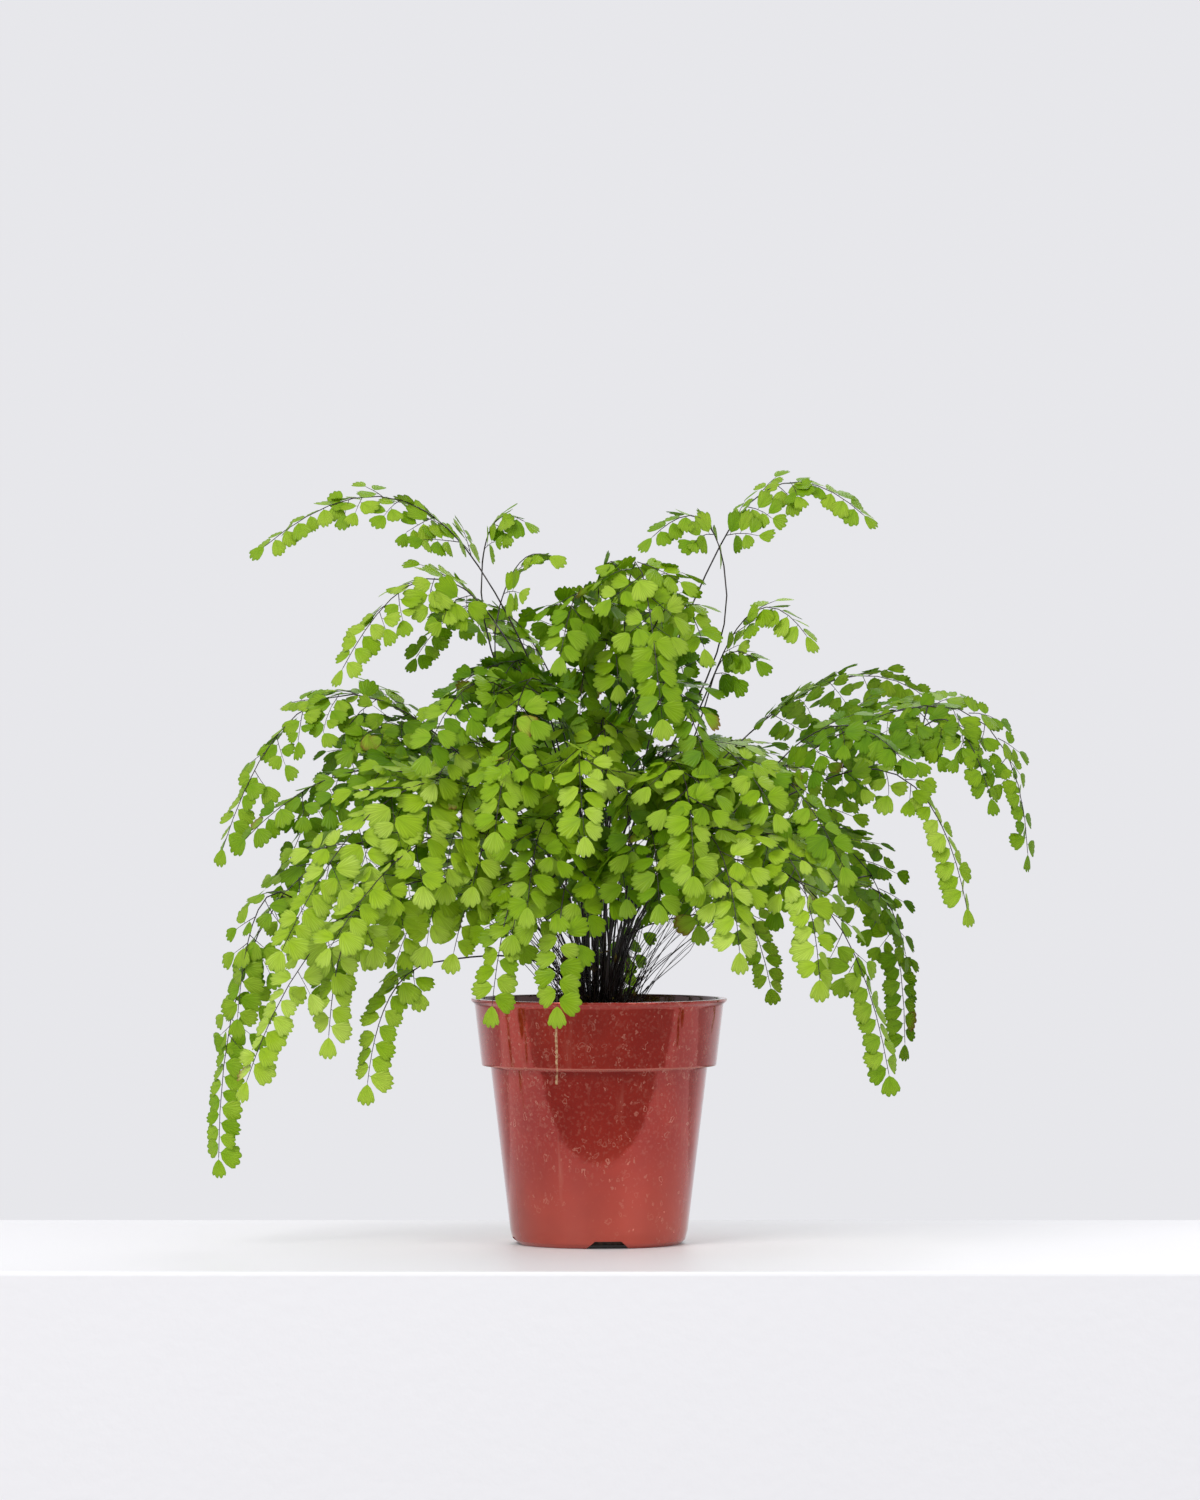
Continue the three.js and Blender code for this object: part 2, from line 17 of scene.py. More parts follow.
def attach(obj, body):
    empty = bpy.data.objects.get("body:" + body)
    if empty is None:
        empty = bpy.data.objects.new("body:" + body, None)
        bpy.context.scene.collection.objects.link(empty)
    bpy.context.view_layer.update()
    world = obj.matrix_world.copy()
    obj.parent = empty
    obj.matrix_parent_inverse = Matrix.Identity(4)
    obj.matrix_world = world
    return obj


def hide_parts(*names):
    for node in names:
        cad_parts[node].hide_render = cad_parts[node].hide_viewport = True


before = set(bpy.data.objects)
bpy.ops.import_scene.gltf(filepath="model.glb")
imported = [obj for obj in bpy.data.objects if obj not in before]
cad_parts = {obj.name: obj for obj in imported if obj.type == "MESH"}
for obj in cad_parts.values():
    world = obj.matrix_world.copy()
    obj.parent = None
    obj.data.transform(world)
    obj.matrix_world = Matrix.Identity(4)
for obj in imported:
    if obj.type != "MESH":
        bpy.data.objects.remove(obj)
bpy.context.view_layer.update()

# %% [markdown]
# ## Camera
# A long lens far away keeps the pot's rim and base almost straight. The camera looks level at the
# middle of the plant, so the shelf shows only as a thin band.

# %% Camera
CAMERA_PLACE = (0.0005, -3.5, 0.2535)
CAMERA_LENS = 163.4
SENSOR_WIDTH = 36.0
camera_data = bpy.data.cameras.new("camera")
camera_data.lens = CAMERA_LENS
camera_data.sensor_width = SENSOR_WIDTH
camera = bpy.data.objects.new("camera", camera_data)
camera.location = CAMERA_PLACE
camera.rotation_euler = (math.radians(90), 0, 0)
bpy.context.scene.collection.objects.link(camera)
bpy.context.scene.camera = camera
bpy.context.scene.view_settings.view_transform = "Standard"
print("camera at", tuple(camera.location))

# %% [markdown]
# ## Helpers
# Everything of the plant is modelled in millimetres, which are easy to think in at its size. One
# function turns a bmesh into an object. Another first brings it to metres, and then tells the
# frame which body the piece rides on, and hides the part of the frame it stands for.

# %% Finish a piece
MM = 0.001
UP = Vector((0, 0, 1))


def make_mesh(bm, name):
    """A bmesh becomes a mesh, and is freed."""
    mesh = bpy.data.meshes.new(name)
    bm.to_mesh(mesh)
    bm.free()
    return mesh


def move_mesh(mesh, bm):
    """Puts a mesh that is needed once into a bmesh."""
    bm.from_mesh(mesh)
    bpy.data.meshes.remove(mesh)


def make_object(bm, name, materials):
    """A bmesh becomes an object at the origin, with its materials."""
    mesh = make_mesh(bm, name)
    for material in materials:
        mesh.materials.append(material)
    made = bpy.data.objects.new(name, mesh)
    bpy.context.scene.collection.objects.link(made)
    return made


def finish_piece(bm, name, materials, replaced):
    """A bmesh in millimetres becomes a finished piece of the frame."""
    bmesh.ops.scale(bm, vec=(MM, MM, MM), verts=bm.verts)
    piece = make_object(bm, name, materials)
    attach(piece, "root")
    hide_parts(replaced)
    return piece


# %% Spots and curves
def ring_spot(angle, radius, height):
    """The spot at one angle and distance from the plant's upright axis."""
    return Vector((radius * math.cos(angle), radius * math.sin(angle), height))


def sway(luck, reach):
    """A random level shift, at most reach along X and along Y."""
    return Vector((luck.uniform(-reach, reach), luck.uniform(-reach, reach), 0))


def bezier(points, share):
    """A point of a curve that its control points pull along."""
    while len(points) > 1:
        points = [first.lerp(second, share) for first, second in zip(points, points[1:])]
    return points[0]


def draw_curve(points, steps):
    """The curve as a path of steps + 1 points."""
    return [bezier(points, step / steps) for step in range(steps + 1)]


# %% [markdown]
# ## Wires
# Stalks, ribs and twigs are all thin round rods that bend. A ring is drawn at the first point of
# a path, and each step pulls it on to the next point, so the rod is one closed skin.

# %% Pull a rod along a path


def ring_matrix(path, number):
    """The turn and place of a ring at one point of a path."""
    before = path[max(number - 1, 0)]
    after = path[min(number + 1, len(path) - 1)]
    turn = (after - before).to_track_quat("Z", "Y").to_matrix().to_4x4()
    return Matrix.Translation(path[number]) @ turn


def add_rod(bm, path, radii, sides, material_index=0):
    """A rod through the points of a path, with its own radius at each point."""
    place = ring_matrix(path, 0)
    ring = bmesh.ops.create_circle(bm, cap_ends=True, segments=sides, radius=radii[0], matrix=place)["verts"]
    faces = [ring[0].link_faces[0]]
    faces[0].normal_flip()
    edges = list(faces[0].edges)
    for number in range(1, len(path)):
        pulled = bmesh.ops.extrude_edge_only(bm, edges=edges)["geom"]
        ring = [item for item in pulled if isinstance(item, bmesh.types.BMVert)]
        edges = [item for item in pulled if isinstance(item, bmesh.types.BMEdge)]
        faces += [item for item in pulled if isinstance(item, bmesh.types.BMFace)]
        step = ring_matrix(path, number)
        size = Matrix.Scale(radii[number] / radii[number - 1], 4)
        bmesh.ops.transform(bm, matrix=step @ size @ place.inverted(), verts=ring)
        place = step
    edges = [edge for edge in edges if edge.is_boundary]
    faces += bmesh.ops.contextual_create(bm, geom=edges)["faces"]
    for face in faces:
        face.material_index = material_index
        face.smooth = True
    return faces


# %% [markdown]
# ## Colours and finishes
# A leaflet is thin, so light shines through it: a plain surface shader is mixed with a
# translucent one. Every leaflet carries its own number for age and painted shade, and a fan-shaped
# UV map, which the finish reads for its tint and for the veins that spread from its foot. The number
# is lower near the plant's heart, so inner leaflets are painted darker, as shade, and outer ones paler.
# The pot's real marks are what water leaves on plastic: rings of dried drops, streaks, dust, and one
# pale drip. Its finish also paints shade on the inner wall and in the base notches, and a thin
# highlight along the collar's lower edge.

# %% Node helper
class Finish:
    """A material with a few short calls to add and join its nodes."""

    def __init__(self, name):
        self.material = bpy.data.materials.new(name)
        self.material.use_nodes = True
        self.tree = self.material.node_tree
        self.surface = self.tree.nodes["Principled BSDF"]
        self.place = self.add("ShaderNodeTexCoord").outputs["Object"]

    def add(self, kind, inputs=(), **settings):
        """A new node, whose inputs are set or joined by name or number."""
        node = self.tree.nodes.new(kind)
        for key, value in settings.items():
            setattr(node, key, value)
        for key, value in dict(inputs).items():
            self.put(value, node.inputs[key])
        return node

    def put(self, value, socket):
        """Joins another node's output to a socket, or sets a plain value."""
        if isinstance(value, bpy.types.NodeSocket):
            self.tree.links.new(value, socket)
        else:
            socket.default_value = value

    def dress(self, inputs):
        """Sets or joins inputs of the surface shader."""
        for name, value in inputs.items():
            self.put(value, self.surface.inputs[name])

    def calc(self, operation, first, second=0.0, clamp=False):
        node = self.add("ShaderNodeMath", {0: first, 1: second}, operation=operation, use_clamp=clamp)
        return node.outputs[0]

    def plus(self, first, second):
        return self.calc("ADD", first, second)

    def times(self, first, second):
        return self.calc("MULTIPLY", first, second)

    def most(self, first, second):
        return self.calc("MAXIMUM", first, second)

    def gap(self, value, middle):
        """How far a value is from the middle."""
        return self.calc("ABSOLUTE", self.calc("SUBTRACT", value, middle))

    def edge_band(self, value, middle, half):
        """1 in a narrow band round the middle, and 0 elsewhere."""
        return self.calc("LESS_THAN", self.gap(value, middle), half)

    def fade(self, value, low, high, start, end):
        """Goes from start to end while the value goes from low to high, and holds outside."""
        return self.add("ShaderNodeMapRange", {0: value, 1: low, 2: high, 3: start, 4: end}).outputs[0]

    def cloud(self, scale, detail, place=None, output="Fac"):
        """A soft random pattern, with finer spots where the scale is higher."""
        place = self.place if place is None else place
        node = self.add("ShaderNodeTexNoise", {"Vector": place, "Scale": scale, "Detail": detail})
        return node.outputs[output]

    def parts(self, vector):
        """The three parts of a vector or colour."""
        return list(self.add("ShaderNodeSeparateXYZ", {0: vector}).outputs)

    def from_axis(self):
        """How far a spot is from the upright axis."""
        x, y = self.parts(self.place)[:2]
        level = self.add("ShaderNodeCombineXYZ", {0: x, 1: y, 2: 0.0}).outputs[0]
        return self.add("ShaderNodeVectorMath", {0: level}, operation="LENGTH").outputs["Value"]

    def stretch(self, vector, scale):
        return self.add("ShaderNodeMapping", {"Vector": vector, "Scale": scale}).outputs[0]

    def blend(self, share, first, second):
        """Goes from the first colour to the second as the share goes from 0 to 1."""
        node = self.add("ShaderNodeMix", data_type="RGBA")
        self.put(share, node.inputs[0])
        self.put(first, node.inputs[6])
        self.put(second, node.inputs[7])
        return node.outputs[2]

    def steps(self, value, stops):
        """A colour ramp, whose stops are pairs of place and colour."""
        node = self.add("ShaderNodeValToRGB", {0: value})
        ramp = node.color_ramp
        while len(ramp.elements) < len(stops):
            ramp.elements.new(1.0)
        for element, (place, colour) in zip(ramp.elements, stops):
            element.position = place
            element.color = (*colour, 1)
        return node.outputs[0]

    def bump(self, height, strength, distance):
        """Lets a pattern raise the surface a little."""
        node = self.add("ShaderNodeBump", {"Height": height, "Strength": strength, "Distance": distance})
        self.dress({"Normal": node.outputs[0]})


# %% Leaflet finish
VEIN_WAVES = 44.0
BROWN_AGE = 0.965
BROWN_EDGE = (0.30, 0.13, 0.035, 1)
GLOW_SHARE = 0.38
# The four greens are lighter and darker copies of one leaf finish. Fronds in the plant's heart take the
# darker ones and fronds in front the lighter ones, so the choice is partly painted shade.
LEAF_TINTS = {
    "young": ((0.20, 0.38, 0.006), (0.42, 0.62, 0.022), (0.68, 0.85, 0.16)),
    "bright": ((0.15, 0.32, 0.004), (0.33, 0.54, 0.010), (0.57, 0.75, 0.09)),
    "mid": ((0.10, 0.25, 0.002), (0.24, 0.45, 0.006), (0.47, 0.66, 0.05)),
    "deep": ((0.065, 0.19, 0.001), (0.17, 0.36, 0.004), (0.34, 0.54, 0.014)),
}


def darker(colour, share):
    """The colour with a share of its light, and the alpha that a socket needs."""
    return (*[part * share for part in colour], 1)


def leaflet_finish(name, shaded, fresh, pale):
    """Thin green leaf: three tints by age and painted shade, fine spreading veins, a darker rim, a soft
    sheen.
    """
    finish = Finish(name)
    age_and_shade = finish.add("ShaderNodeAttribute", attribute_name="age_and_shade").outputs["Fac"]
    across, outward = finish.parts(finish.add("ShaderNodeUVMap", uv_map="fan").outputs[0])[:2]
    by_spot = finish.times(finish.cloud(55.0, 2.0), 0.3)
    by_rim = finish.times(finish.calc("SUBTRACT", outward, 0.6), 0.22)
    tint = finish.plus(finish.plus(finish.times(age_and_shade, 0.75), by_spot), by_rim)
    green = finish.steps(tint, [(0.15, shaded), (0.5, fresh), (0.95, pale)])
    waves = finish.calc("SINE", finish.times(across, VEIN_WAVES))
    veins = finish.times(finish.calc("POWER", finish.calc("ABSOLUTE", waves), 5.0), 0.34)
    green = finish.blend(veins, green, darker(shaded, 0.55))
    rim = finish.times(finish.calc("POWER", outward, 9.0), 0.5)
    green = finish.blend(rim, green, darker(shaded, 0.7))
    brown = finish.times(finish.calc("GREATER_THAN", age_and_shade, BROWN_AGE), finish.calc("POWER", outward, 5.0))
    green = finish.blend(brown, green, BROWN_EDGE)
    finish.dress({"Base Color": green, "Roughness": 0.42, "Specular IOR Level": 0.20})
    finish.bump(waves, 0.25, 0.0004)
    glow = finish.add("ShaderNodeBsdfTranslucent", {"Color": finish.blend(0.35, green, (*pale, 1))})
    shaders = {0: GLOW_SHARE, 1: finish.surface.outputs[0], 2: glow.outputs[0]}
    both = finish.add("ShaderNodeMixShader", shaders)
    finish.put(both.outputs[0], finish.tree.nodes["Material Output"].inputs["Surface"])
    return finish.material


GREENS = {green: leaflet_finish("leaflet_" + green, *tints) for green, tints in LEAF_TINTS.items()}
print("leaflet finishes:", len(GREENS))

# %% Pot finish
# Heights and radii are in metres here, because a finish reads the piece at its final size.
COLLAR_Z = 0.093
LOW_EDGE_Z = 0.0916
DRIP_SIDE = -0.0195
DRIP_MIDDLE_Z = 0.1005
DRIP_HALF_HEIGHT = 0.0165
NOTCH_SHADE_RADIUS = 0.0400
NOTCH_SHADE_TOP_Z = 0.006
COLLAR_SLOPE = 0.1146
INNER_WALL_RADIUS = 0.0490
INNER_SHADE_FROM_Z = 0.105
DROP_RINGS = ((260.0, 0.27, 0.05, 0.40), (450.0, 0.24, 0.09, 0.36))
DUST_AND_HIGHLIGHT_COLOUR = (0.60, 0.30, 0.21, 1)
DRIP_COLOUR = (0.66, 0.43, 0.24, 1)
NOTCH_SHADE_COLOUR = (0.006, 0.004, 0.003, 1)
INNER_SHADE_COLOUR = (0.012, 0.012, 0.009, 1)


def dried_drops(finish, height, patches, marks):
    """Adds rings of dried drops, which are thickest by the collar and in damp patches."""
    damp = finish.fade(height, 0.030, 0.075, 0.0, 0.14)
    wet = finish.fade(finish.plus(patches, damp), 0.44, 0.62, 0.0, 1.0)
    collar = finish.fade(finish.gap(height, COLLAR_Z), 0.004, 0.012, 0.8, 0.0)
    wet = finish.calc("ADD", wet, collar, True)
    wobble = finish.cloud(260.0, 2.0, output="Color")
    shift = finish.add("ShaderNodeVectorMath", {0: wobble, "Scale": 0.0060}, operation="SCALE").outputs[0]
    moved = finish.add("ShaderNodeVectorMath", {0: finish.place, 1: shift}, operation="ADD").outputs[0]
    warped = finish.stretch(moved, (1.0, 1.0, 0.65))
    for scale, radius, width, strength in DROP_RINGS:
        cells = finish.add("ShaderNodeTexVoronoi", {"Vector": warped, "Scale": scale, "Randomness": 1.0})
        ring = finish.edge_band(cells.outputs["Distance"], radius, width)
        chance, tone = finish.parts(cells.outputs["Color"])[:2]
        kept = finish.calc("GREATER_THAN", finish.times(chance, wet), 0.42)
        level = finish.times(finish.times(ring, kept), finish.times(tone, strength))
        marks = finish.most(marks, level)
    return marks


def pale_drip(finish, parts, patches, crust):
    """One crusted drip that ran down the front of the collar, in a slightly wavy line."""
    wave = finish.plus(finish.times(patches, 0.003), finish.times(crust, 0.0012))
    line = finish.edge_band(finish.plus(parts[0], wave), DRIP_SIDE, 0.0006)
    tall = finish.edge_band(parts[2], DRIP_MIDDLE_Z, DRIP_HALF_HEIGHT)
    front = finish.times(finish.calc("LESS_THAN", parts[1], 0.0), tall)
    return finish.times(finish.times(line, front), finish.fade(crust, 0.40, 0.58, 0.25, 1.0))


def pot_finish():
    """Glossy terracotta-red plastic with dried drops, dry streaks and dust; painted shade on the inner wall
    and in the base notches, and a painted highlight on the collar's lower edge.
    """
    finish = Finish("pot_plastic")
    parts = finish.parts(finish.place)
    height = parts[2]
    tone = finish.cloud(16.0, 4.0)
    crust = finish.cloud(520.0, 4.0)
    patches = finish.cloud(34.0, 2.0)
    red = finish.steps(tone, [(0.35, (0.27, 0.012, 0.005)), (0.7, (0.42, 0.030, 0.013))])
    runs = finish.cloud(1.0, 3.0, finish.stretch(finish.place, (180.0, 180.0, 11.0)))
    streaks = finish.fade(runs, 0.60, 0.80, 0.0, 0.18)
    marks = dried_drops(finish, height, patches, streaks)
    dust = finish.fade(crust, 0.52, 0.80, 0.0, 0.20)
    # Painted highlight: a thin paler line along the collar's lower edge, where it catches the light.
    collar_edge_highlight = finish.times(finish.edge_band(height, LOW_EDGE_Z, 0.0007), 0.28)
    haze = finish.fade(height, 0.0, 0.055, 0.13, 0.0)
    # The pale mix holds real drops, streaks and dust, and the painted edge highlight.
    marks_dust_and_highlight = finish.most(finish.most(marks, dust), finish.most(collar_edge_highlight, haze))
    red = finish.blend(marks_dust_and_highlight, red, DUST_AND_HIGHLIGHT_COLOUR)
    red = finish.blend(pale_drip(finish, parts, patches, crust), red, DRIP_COLOUR)
    # Painted shade: the pot's base inside its drainage notches is painted near-black, as the shade under the
    # pot.
    radius = finish.from_axis()
    low = finish.calc("LESS_THAN", height, NOTCH_SHADE_TOP_Z)
    notch_shade = finish.times(finish.calc("LESS_THAN", radius, NOTCH_SHADE_RADIUS), low)
    red = finish.blend(notch_shade, red, NOTCH_SHADE_COLOUR)
    # Painted shade: the inner wall above the soil is painted near-black, where shade falls inside the rim.
    upright = finish.calc("SUBTRACT", radius, finish.times(height, COLLAR_SLOPE))
    wall = finish.calc("LESS_THAN", upright, INNER_WALL_RADIUS)
    inner_shade = finish.times(wall, finish.calc("GREATER_THAN", height, INNER_SHADE_FROM_Z))
    red = finish.blend(finish.times(inner_shade, 0.85), red, INNER_SHADE_COLOUR)
    rough = finish.plus(finish.fade(crust, 0.3, 0.75, 0.06, 0.13), finish.times(marks, 0.5))
    finish.dress({"Base Color": red, "Roughness": rough, "Metallic": 0.45})
    finish.dress({"Coat Weight": 0.35, "Coat Roughness": 0.04})
    finish.bump(tone, 0.2, 0.004)
    return finish.material


# %% Stalk, dry leaf and soil finishes
def stalk_finish():
    """Polished black-brown wire, redder in places."""
    finish = Finish("stalk")
    cloud = finish.cloud(90.0, 3.0)
    brown = finish.steps(cloud, [(0.35, (0.006, 0.004, 0.004)), (0.7, (0.028, 0.012, 0.009))])
    finish.dress({"Base Color": brown, "Roughness": finish.fade(cloud, 0.3, 0.7, 0.22, 0.42)})
    return finish.material


def dry_finish():
    """Dry straw-brown remains of old leaflets."""
    finish = Finish("dry_leaf")
    stops = [(0.4, (0.035, 0.014, 0.006)), (0.52, (0.14, 0.07, 0.015)), (0.62, (0.30, 0.24, 0.03))]
    finish.dress({"Base Color": finish.steps(finish.cloud(130.0, 2.0), stops), "Roughness": 0.8})
    return finish.material


def soil_finish():
    """Dark peat with paler fibres and crumbs."""
    finish = Finish("soil_peat")
    grain = finish.cloud(420.0, 6.0)
    stops = [(0.3, (0.016, 0.010, 0.007)), (0.55, (0.06, 0.038, 0.025)), (0.8, (0.20, 0.14, 0.09))]
    finish.dress({"Base Color": finish.steps(grain, stops), "Roughness": 0.92})
    finish.bump(grain, 0.8, 0.002)
    return finish.material


STALK = stalk_finish()
POT = pot_finish()
SOIL = soil_finish()
DRY = dry_finish()
print("finishes:", STALK.name, POT.name, SOIL.name, DRY.name)

# %% [markdown]
# ## Shelf, floor and light
# A white shelf and a pale surround keep the colours true. A floor lies far below the shelf, for
# the glossy pot to mirror: grey under and near the shelf as painted shadow, darker in a ring some
# metres out, and pale beyond.
# One wide lamp stands high on the left in front, with a weaker one on the right and one behind,
# so the leaves glow and the shadows stay soft.

# %% Shelf
SHELF_FRONT = -0.192
SHELF_BACK = 0.174
SHELF_WIDTH = 3.0
SHELF_THICKNESS = 0.4
shelf_bm = bmesh.new()
bmesh.ops.create_cube(shelf_bm, size=1.0)
shelf_size = (SHELF_WIDTH, SHELF_BACK - SHELF_FRONT, SHELF_THICKNESS)
bmesh.ops.scale(shelf_bm, vec=shelf_size, verts=shelf_bm.verts)
shelf_middle = (0, (SHELF_BACK + SHELF_FRONT) / 2, -SHELF_THICKNESS / 2)
bmesh.ops.translate(shelf_bm, vec=shelf_middle, verts=shelf_bm.verts)
bmesh.ops.bevel(
    shelf_bm, geom=shelf_bm.edges, offset=0.002, affect="EDGES", segments=3, profile=0.5, material=-1,
)
white = Finish("shelf_white")
white.dress({"Base Color": (0.80, 0.80, 0.82, 1), "Roughness": 0.45})
white.bump(white.cloud(160.0, 2.0), 0.22, 0.001)
shelf = make_object(shelf_bm, "shelf", [white.material])
print("shelf top at z = 0, deep", SHELF_BACK - SHELF_FRONT)

# %% Floor of the room, far below the shelf
FLOOR_Z = -0.9
FLOOR_HALF = 13.0
BANDS_END = 8.0
DARK = (0.33, 0.325, 0.32)
# Painted shadow: the floor is grey under and near the shelf; the darker ring is there for the pot to mirror.
BANDS = [(0.25, (0.57, 0.57, 0.58)), (0.36, DARK), (0.47, DARK), (1.0, (0.93, 0.93, 0.94))]
floor_bm = bmesh.new()
bmesh.ops.create_grid(floor_bm, x_segments=8, y_segments=8, size=FLOOR_HALF)
bmesh.ops.translate(floor_bm, vec=(0, 0, FLOOR_Z), verts=floor_bm.verts)
grey = Finish("floor_grey")
distance = grey.calc("DIVIDE", grey.from_axis(), BANDS_END, True)
grey.dress({"Base Color": grey.steps(distance, BANDS), "Roughness": 0.9, "Specular IOR Level": 0.1})
room_floor = make_object(floor_bm, "room_floor", [grey.material])
print("room floor at z =", FLOOR_Z)

# %% Light
SURROUND = (0.80, 0.80, 0.83, 1)
world = bpy.data.worlds.new("pale surround")
world.use_nodes = True
world.node_tree.nodes["Background"].inputs["Color"].default_value = SURROUND
world.node_tree.nodes["Background"].inputs["Strength"].default_value = 1.0
bpy.context.scene.world = world


def add_lamp(name, place, aim, size, power, colour=(1, 1, 1)):
    """A square soft lamp that points at a spot of the plant."""
    data = bpy.data.lights.new(name, "AREA")
    data.size = size
    data.energy = power
    data.color = colour
    lamp = bpy.data.objects.new(name, data)
    lamp.location = place
    lamp.rotation_euler = (Vector(aim) - Vector(place)).to_track_quat("-Z", "Y").to_euler()
    bpy.context.scene.collection.objects.link(lamp)
    return lamp


lamps = [
    add_lamp("key", (-1.3, -1.9, 1.9), (0, 0, 0.22), 1.3, 42, (1.0, 0.98, 0.95)),
    add_lamp("fill", (1.6, -1.7, 0.9), (0, 0, 0.2), 1.4, 10),
    add_lamp("back", (0.5, 1.6, 1.6), (0, 0, 0.25), 1.2, 12),
]
print("lamps:", len(lamps))

# %% [markdown]
# ## The fronds' skeleton
# The whole plant hangs on one list. Each frond's rib starts on its stalk at the neck, rises over
# the crest and ends at the tip; reach is its longest side branch. The blade's own flat map, s
# along the rib and t to its side, is bent over that arch, and it leans to face outwards. A second
# list holds low sprays, which fork from a frond's own stalk or rib and fill the plant's heart.

# %% Fronds
FRONDS = [
    ("top_left", (-62, 12, 348), (-112, 5, 384), (-174, -5, 356), 20, "mid"),
    ("top_left_inner", (-60, 2, 350), (-52, -4, 372), (-36, -10, 369), 13, "mid"),
    ("top_left_low", (-51, -8, 327), (-39, -14, 351), (-23, -20, 351), 15, "bright"),
    ("upper_left", (-54, -12, 320), (-92, -22, 340), (-132, -35, 292), 28, "bright"),
    ("left_upper", (-84, 0, 262), (-148, 2, 277), (-194, -5, 200), 34, "mid"),
    ("left_middle", (-74, -22, 232), (-128, -32, 242), (-182, -36, 206), 36, "deep"),
    ("left_front_a", (-51, -32, 228), (-107, -70, 228), (-160, -95, 150), 44, "young"),
    ("left_front_b", (-44, -38, 203), (-88, -74, 208), (-136, -100, 152), 36, "young"),
    ("left_low_a", (-78, -12, 208), (-165, -24, 175), (-194, -28, 42), 35, "mid"),
    ("left_low_b", (-60, -42, 187), (-130, -68, 168), (-178, -80, 84), 34, "young"),
    ("left_low_c", (-84, -56, 146), (-106, -64, 128), (-117, -70, 82), 7, "bright"),
    ("left_low_back", (-60, 36, 182), (-104, 58, 184), (-146, 76, 128), 24, "deep"),
    ("top_right", (62, 10, 358), (96, 4, 391), (138, -6, 372), 16, "mid"),
    ("top_right_inner", (64, -10, 348), (50, -16, 373), (25, -22, 360), 17, "mid"),
    ("top_right_low", (61, -14, 297), (83, -28, 326), (107, -44, 309), 14, "bright"),
    ("right_spray", (57, -28, 286), (67, -36, 303), (82, -44, 297), 12, "deep"),
    ("top_middle", (12, -8, 300), (20, -52, 348), (32, -88, 266), 36, "bright"),
    ("top_middle_left", (-4, -6, 300), (-10, -36, 334), (-20, -66, 298), 26, "mid"),
    ("right_far", (104, 10, 250), (190, 14, 273), (221, 8, 197), 41, "deep"),
    ("right_far_back", (78, 38, 262), (132, 62, 292), (178, 80, 276), 26, "mid"),
    ("right_upper", (86, -14, 240), (122, -34, 266), (156, -50, 246), 28, "deep"),
    ("right_hanging", (120, -12, 240), (163, -22, 233), (188, -30, 170), 9, "bright"),
    ("right_low_back", (64, 42, 206), (137, 72, 196), (161, 84, 96), 34, "deep"),
    ("right_low_edge", (66, -28, 198), (118, -50, 170), (147, -62, 86), 22, "mid"),
    ("right_front_a", (47, -40, 206), (92, -86, 204), (110, -112, 136), 34, "young"),
    ("right_front_b", (34, -46, 210), (58, -96, 208), (70, -122, 150), 34, "young"),
    ("rim_front", (-6, -44, 188), (-17, -78, 186), (-21, -92, 122), 26, "bright"),
    ("rim_left", (-24, -42, 186), (-42, -70, 184), (-54, -84, 122), 26, "bright"),
    ("middle_front", (-5, -42, 230), (-10, -92, 254), (-7, -132, 208), 32, "young"),
    ("middle_left", (-18, -34, 236), (-40, -78, 256), (-52, -114, 210), 32, "bright"),
    ("middle_right", (20, -40, 230), (40, -86, 246), (47, -122, 188), 32, "bright"),
    ("low_middle_right", (14, -34, 200), (25, -74, 216), (30, -108, 174), 32, "mid"),
    ("low_middle_left", (-12, -34, 200), (-27, -70, 218), (-36, -98, 172), 32, "bright"),
    ("low_centre", (4, -26, 176), (8, -50, 206), (14, -80, 176), 26, "mid"),
    ("low_right", (26, -24, 184), (48, -50, 208), (66, -76, 176), 26, "mid"),
    ("high_middle_left", (-17, -12, 258), (-34, -50, 290), (-46, -86, 246), 34, "mid"),
    ("high_middle_right", (13, -14, 262), (34, -52, 288), (54, -86, 246), 32, "deep"),
    ("inner_left", (-30, -20, 262), (-61, -48, 288), (-88, -74, 248), 32, "mid"),
    ("inner_right", (30, -22, 242), (58, -54, 257), (90, -82, 219), 32, "bright"),
    ("right_middle", (46, -26, 230), (86, -56, 244), (124, -80, 192), 34, "mid"),
    ("heart_left", (-16, -4, 262), (-48, -16, 297), (-84, -30, 270), 26, "deep"),
    ("heart_right", (8, -8, 228), (26, -28, 252), (44, -50, 234), 24, "deep"),
    ("heart_high", (-2, -4, 268), (-6, -24, 300), (-10, -48, 268), 26, "deep"),
    ("heart_back", (2, 10, 250), (6, 40, 280), (10, 74, 246), 26, "deep"),
    ("back_top_left", (-25, 30, 292), (-60, 62, 330), (-98, 92, 300), 34, "mid"),
    ("back_top_middle", (8, 32, 300), (16, 72, 340), (24, 110, 300), 34, "mid"),
    ("back_top_right", (18, 28, 280), (34, 60, 312), (48, 92, 278), 28, "deep"),
    ("back_left", (-42, 44, 238), (-84, 96, 256), (-112, 136, 186), 37, "bright"),
    ("back_middle", (-4, 52, 246), (-12, 108, 266), (-22, 152, 196), 37, "mid"),
    ("back_right", (38, 46, 240), (74, 100, 254), (98, 142, 186), 37, "bright"),
    ("back_far_left", (-62, 26, 244), (-122, 56, 256), (-168, 78, 180), 36, "deep"),
    ("back_far_right", (58, 44, 236), (108, 88, 240), (138, 118, 176), 32, "bright"),
    ("back_low_left", (-36, 46, 188), (-80, 90, 188), (-110, 118, 134), 30, "mid"),
    ("back_low_middle", (2, 54, 192), (8, 104, 188), (12, 130, 98), 28, "deep"),
    ("back_low_right", (34, 50, 188), (70, 100, 180), (92, 128, 124), 28, "mid"),
]
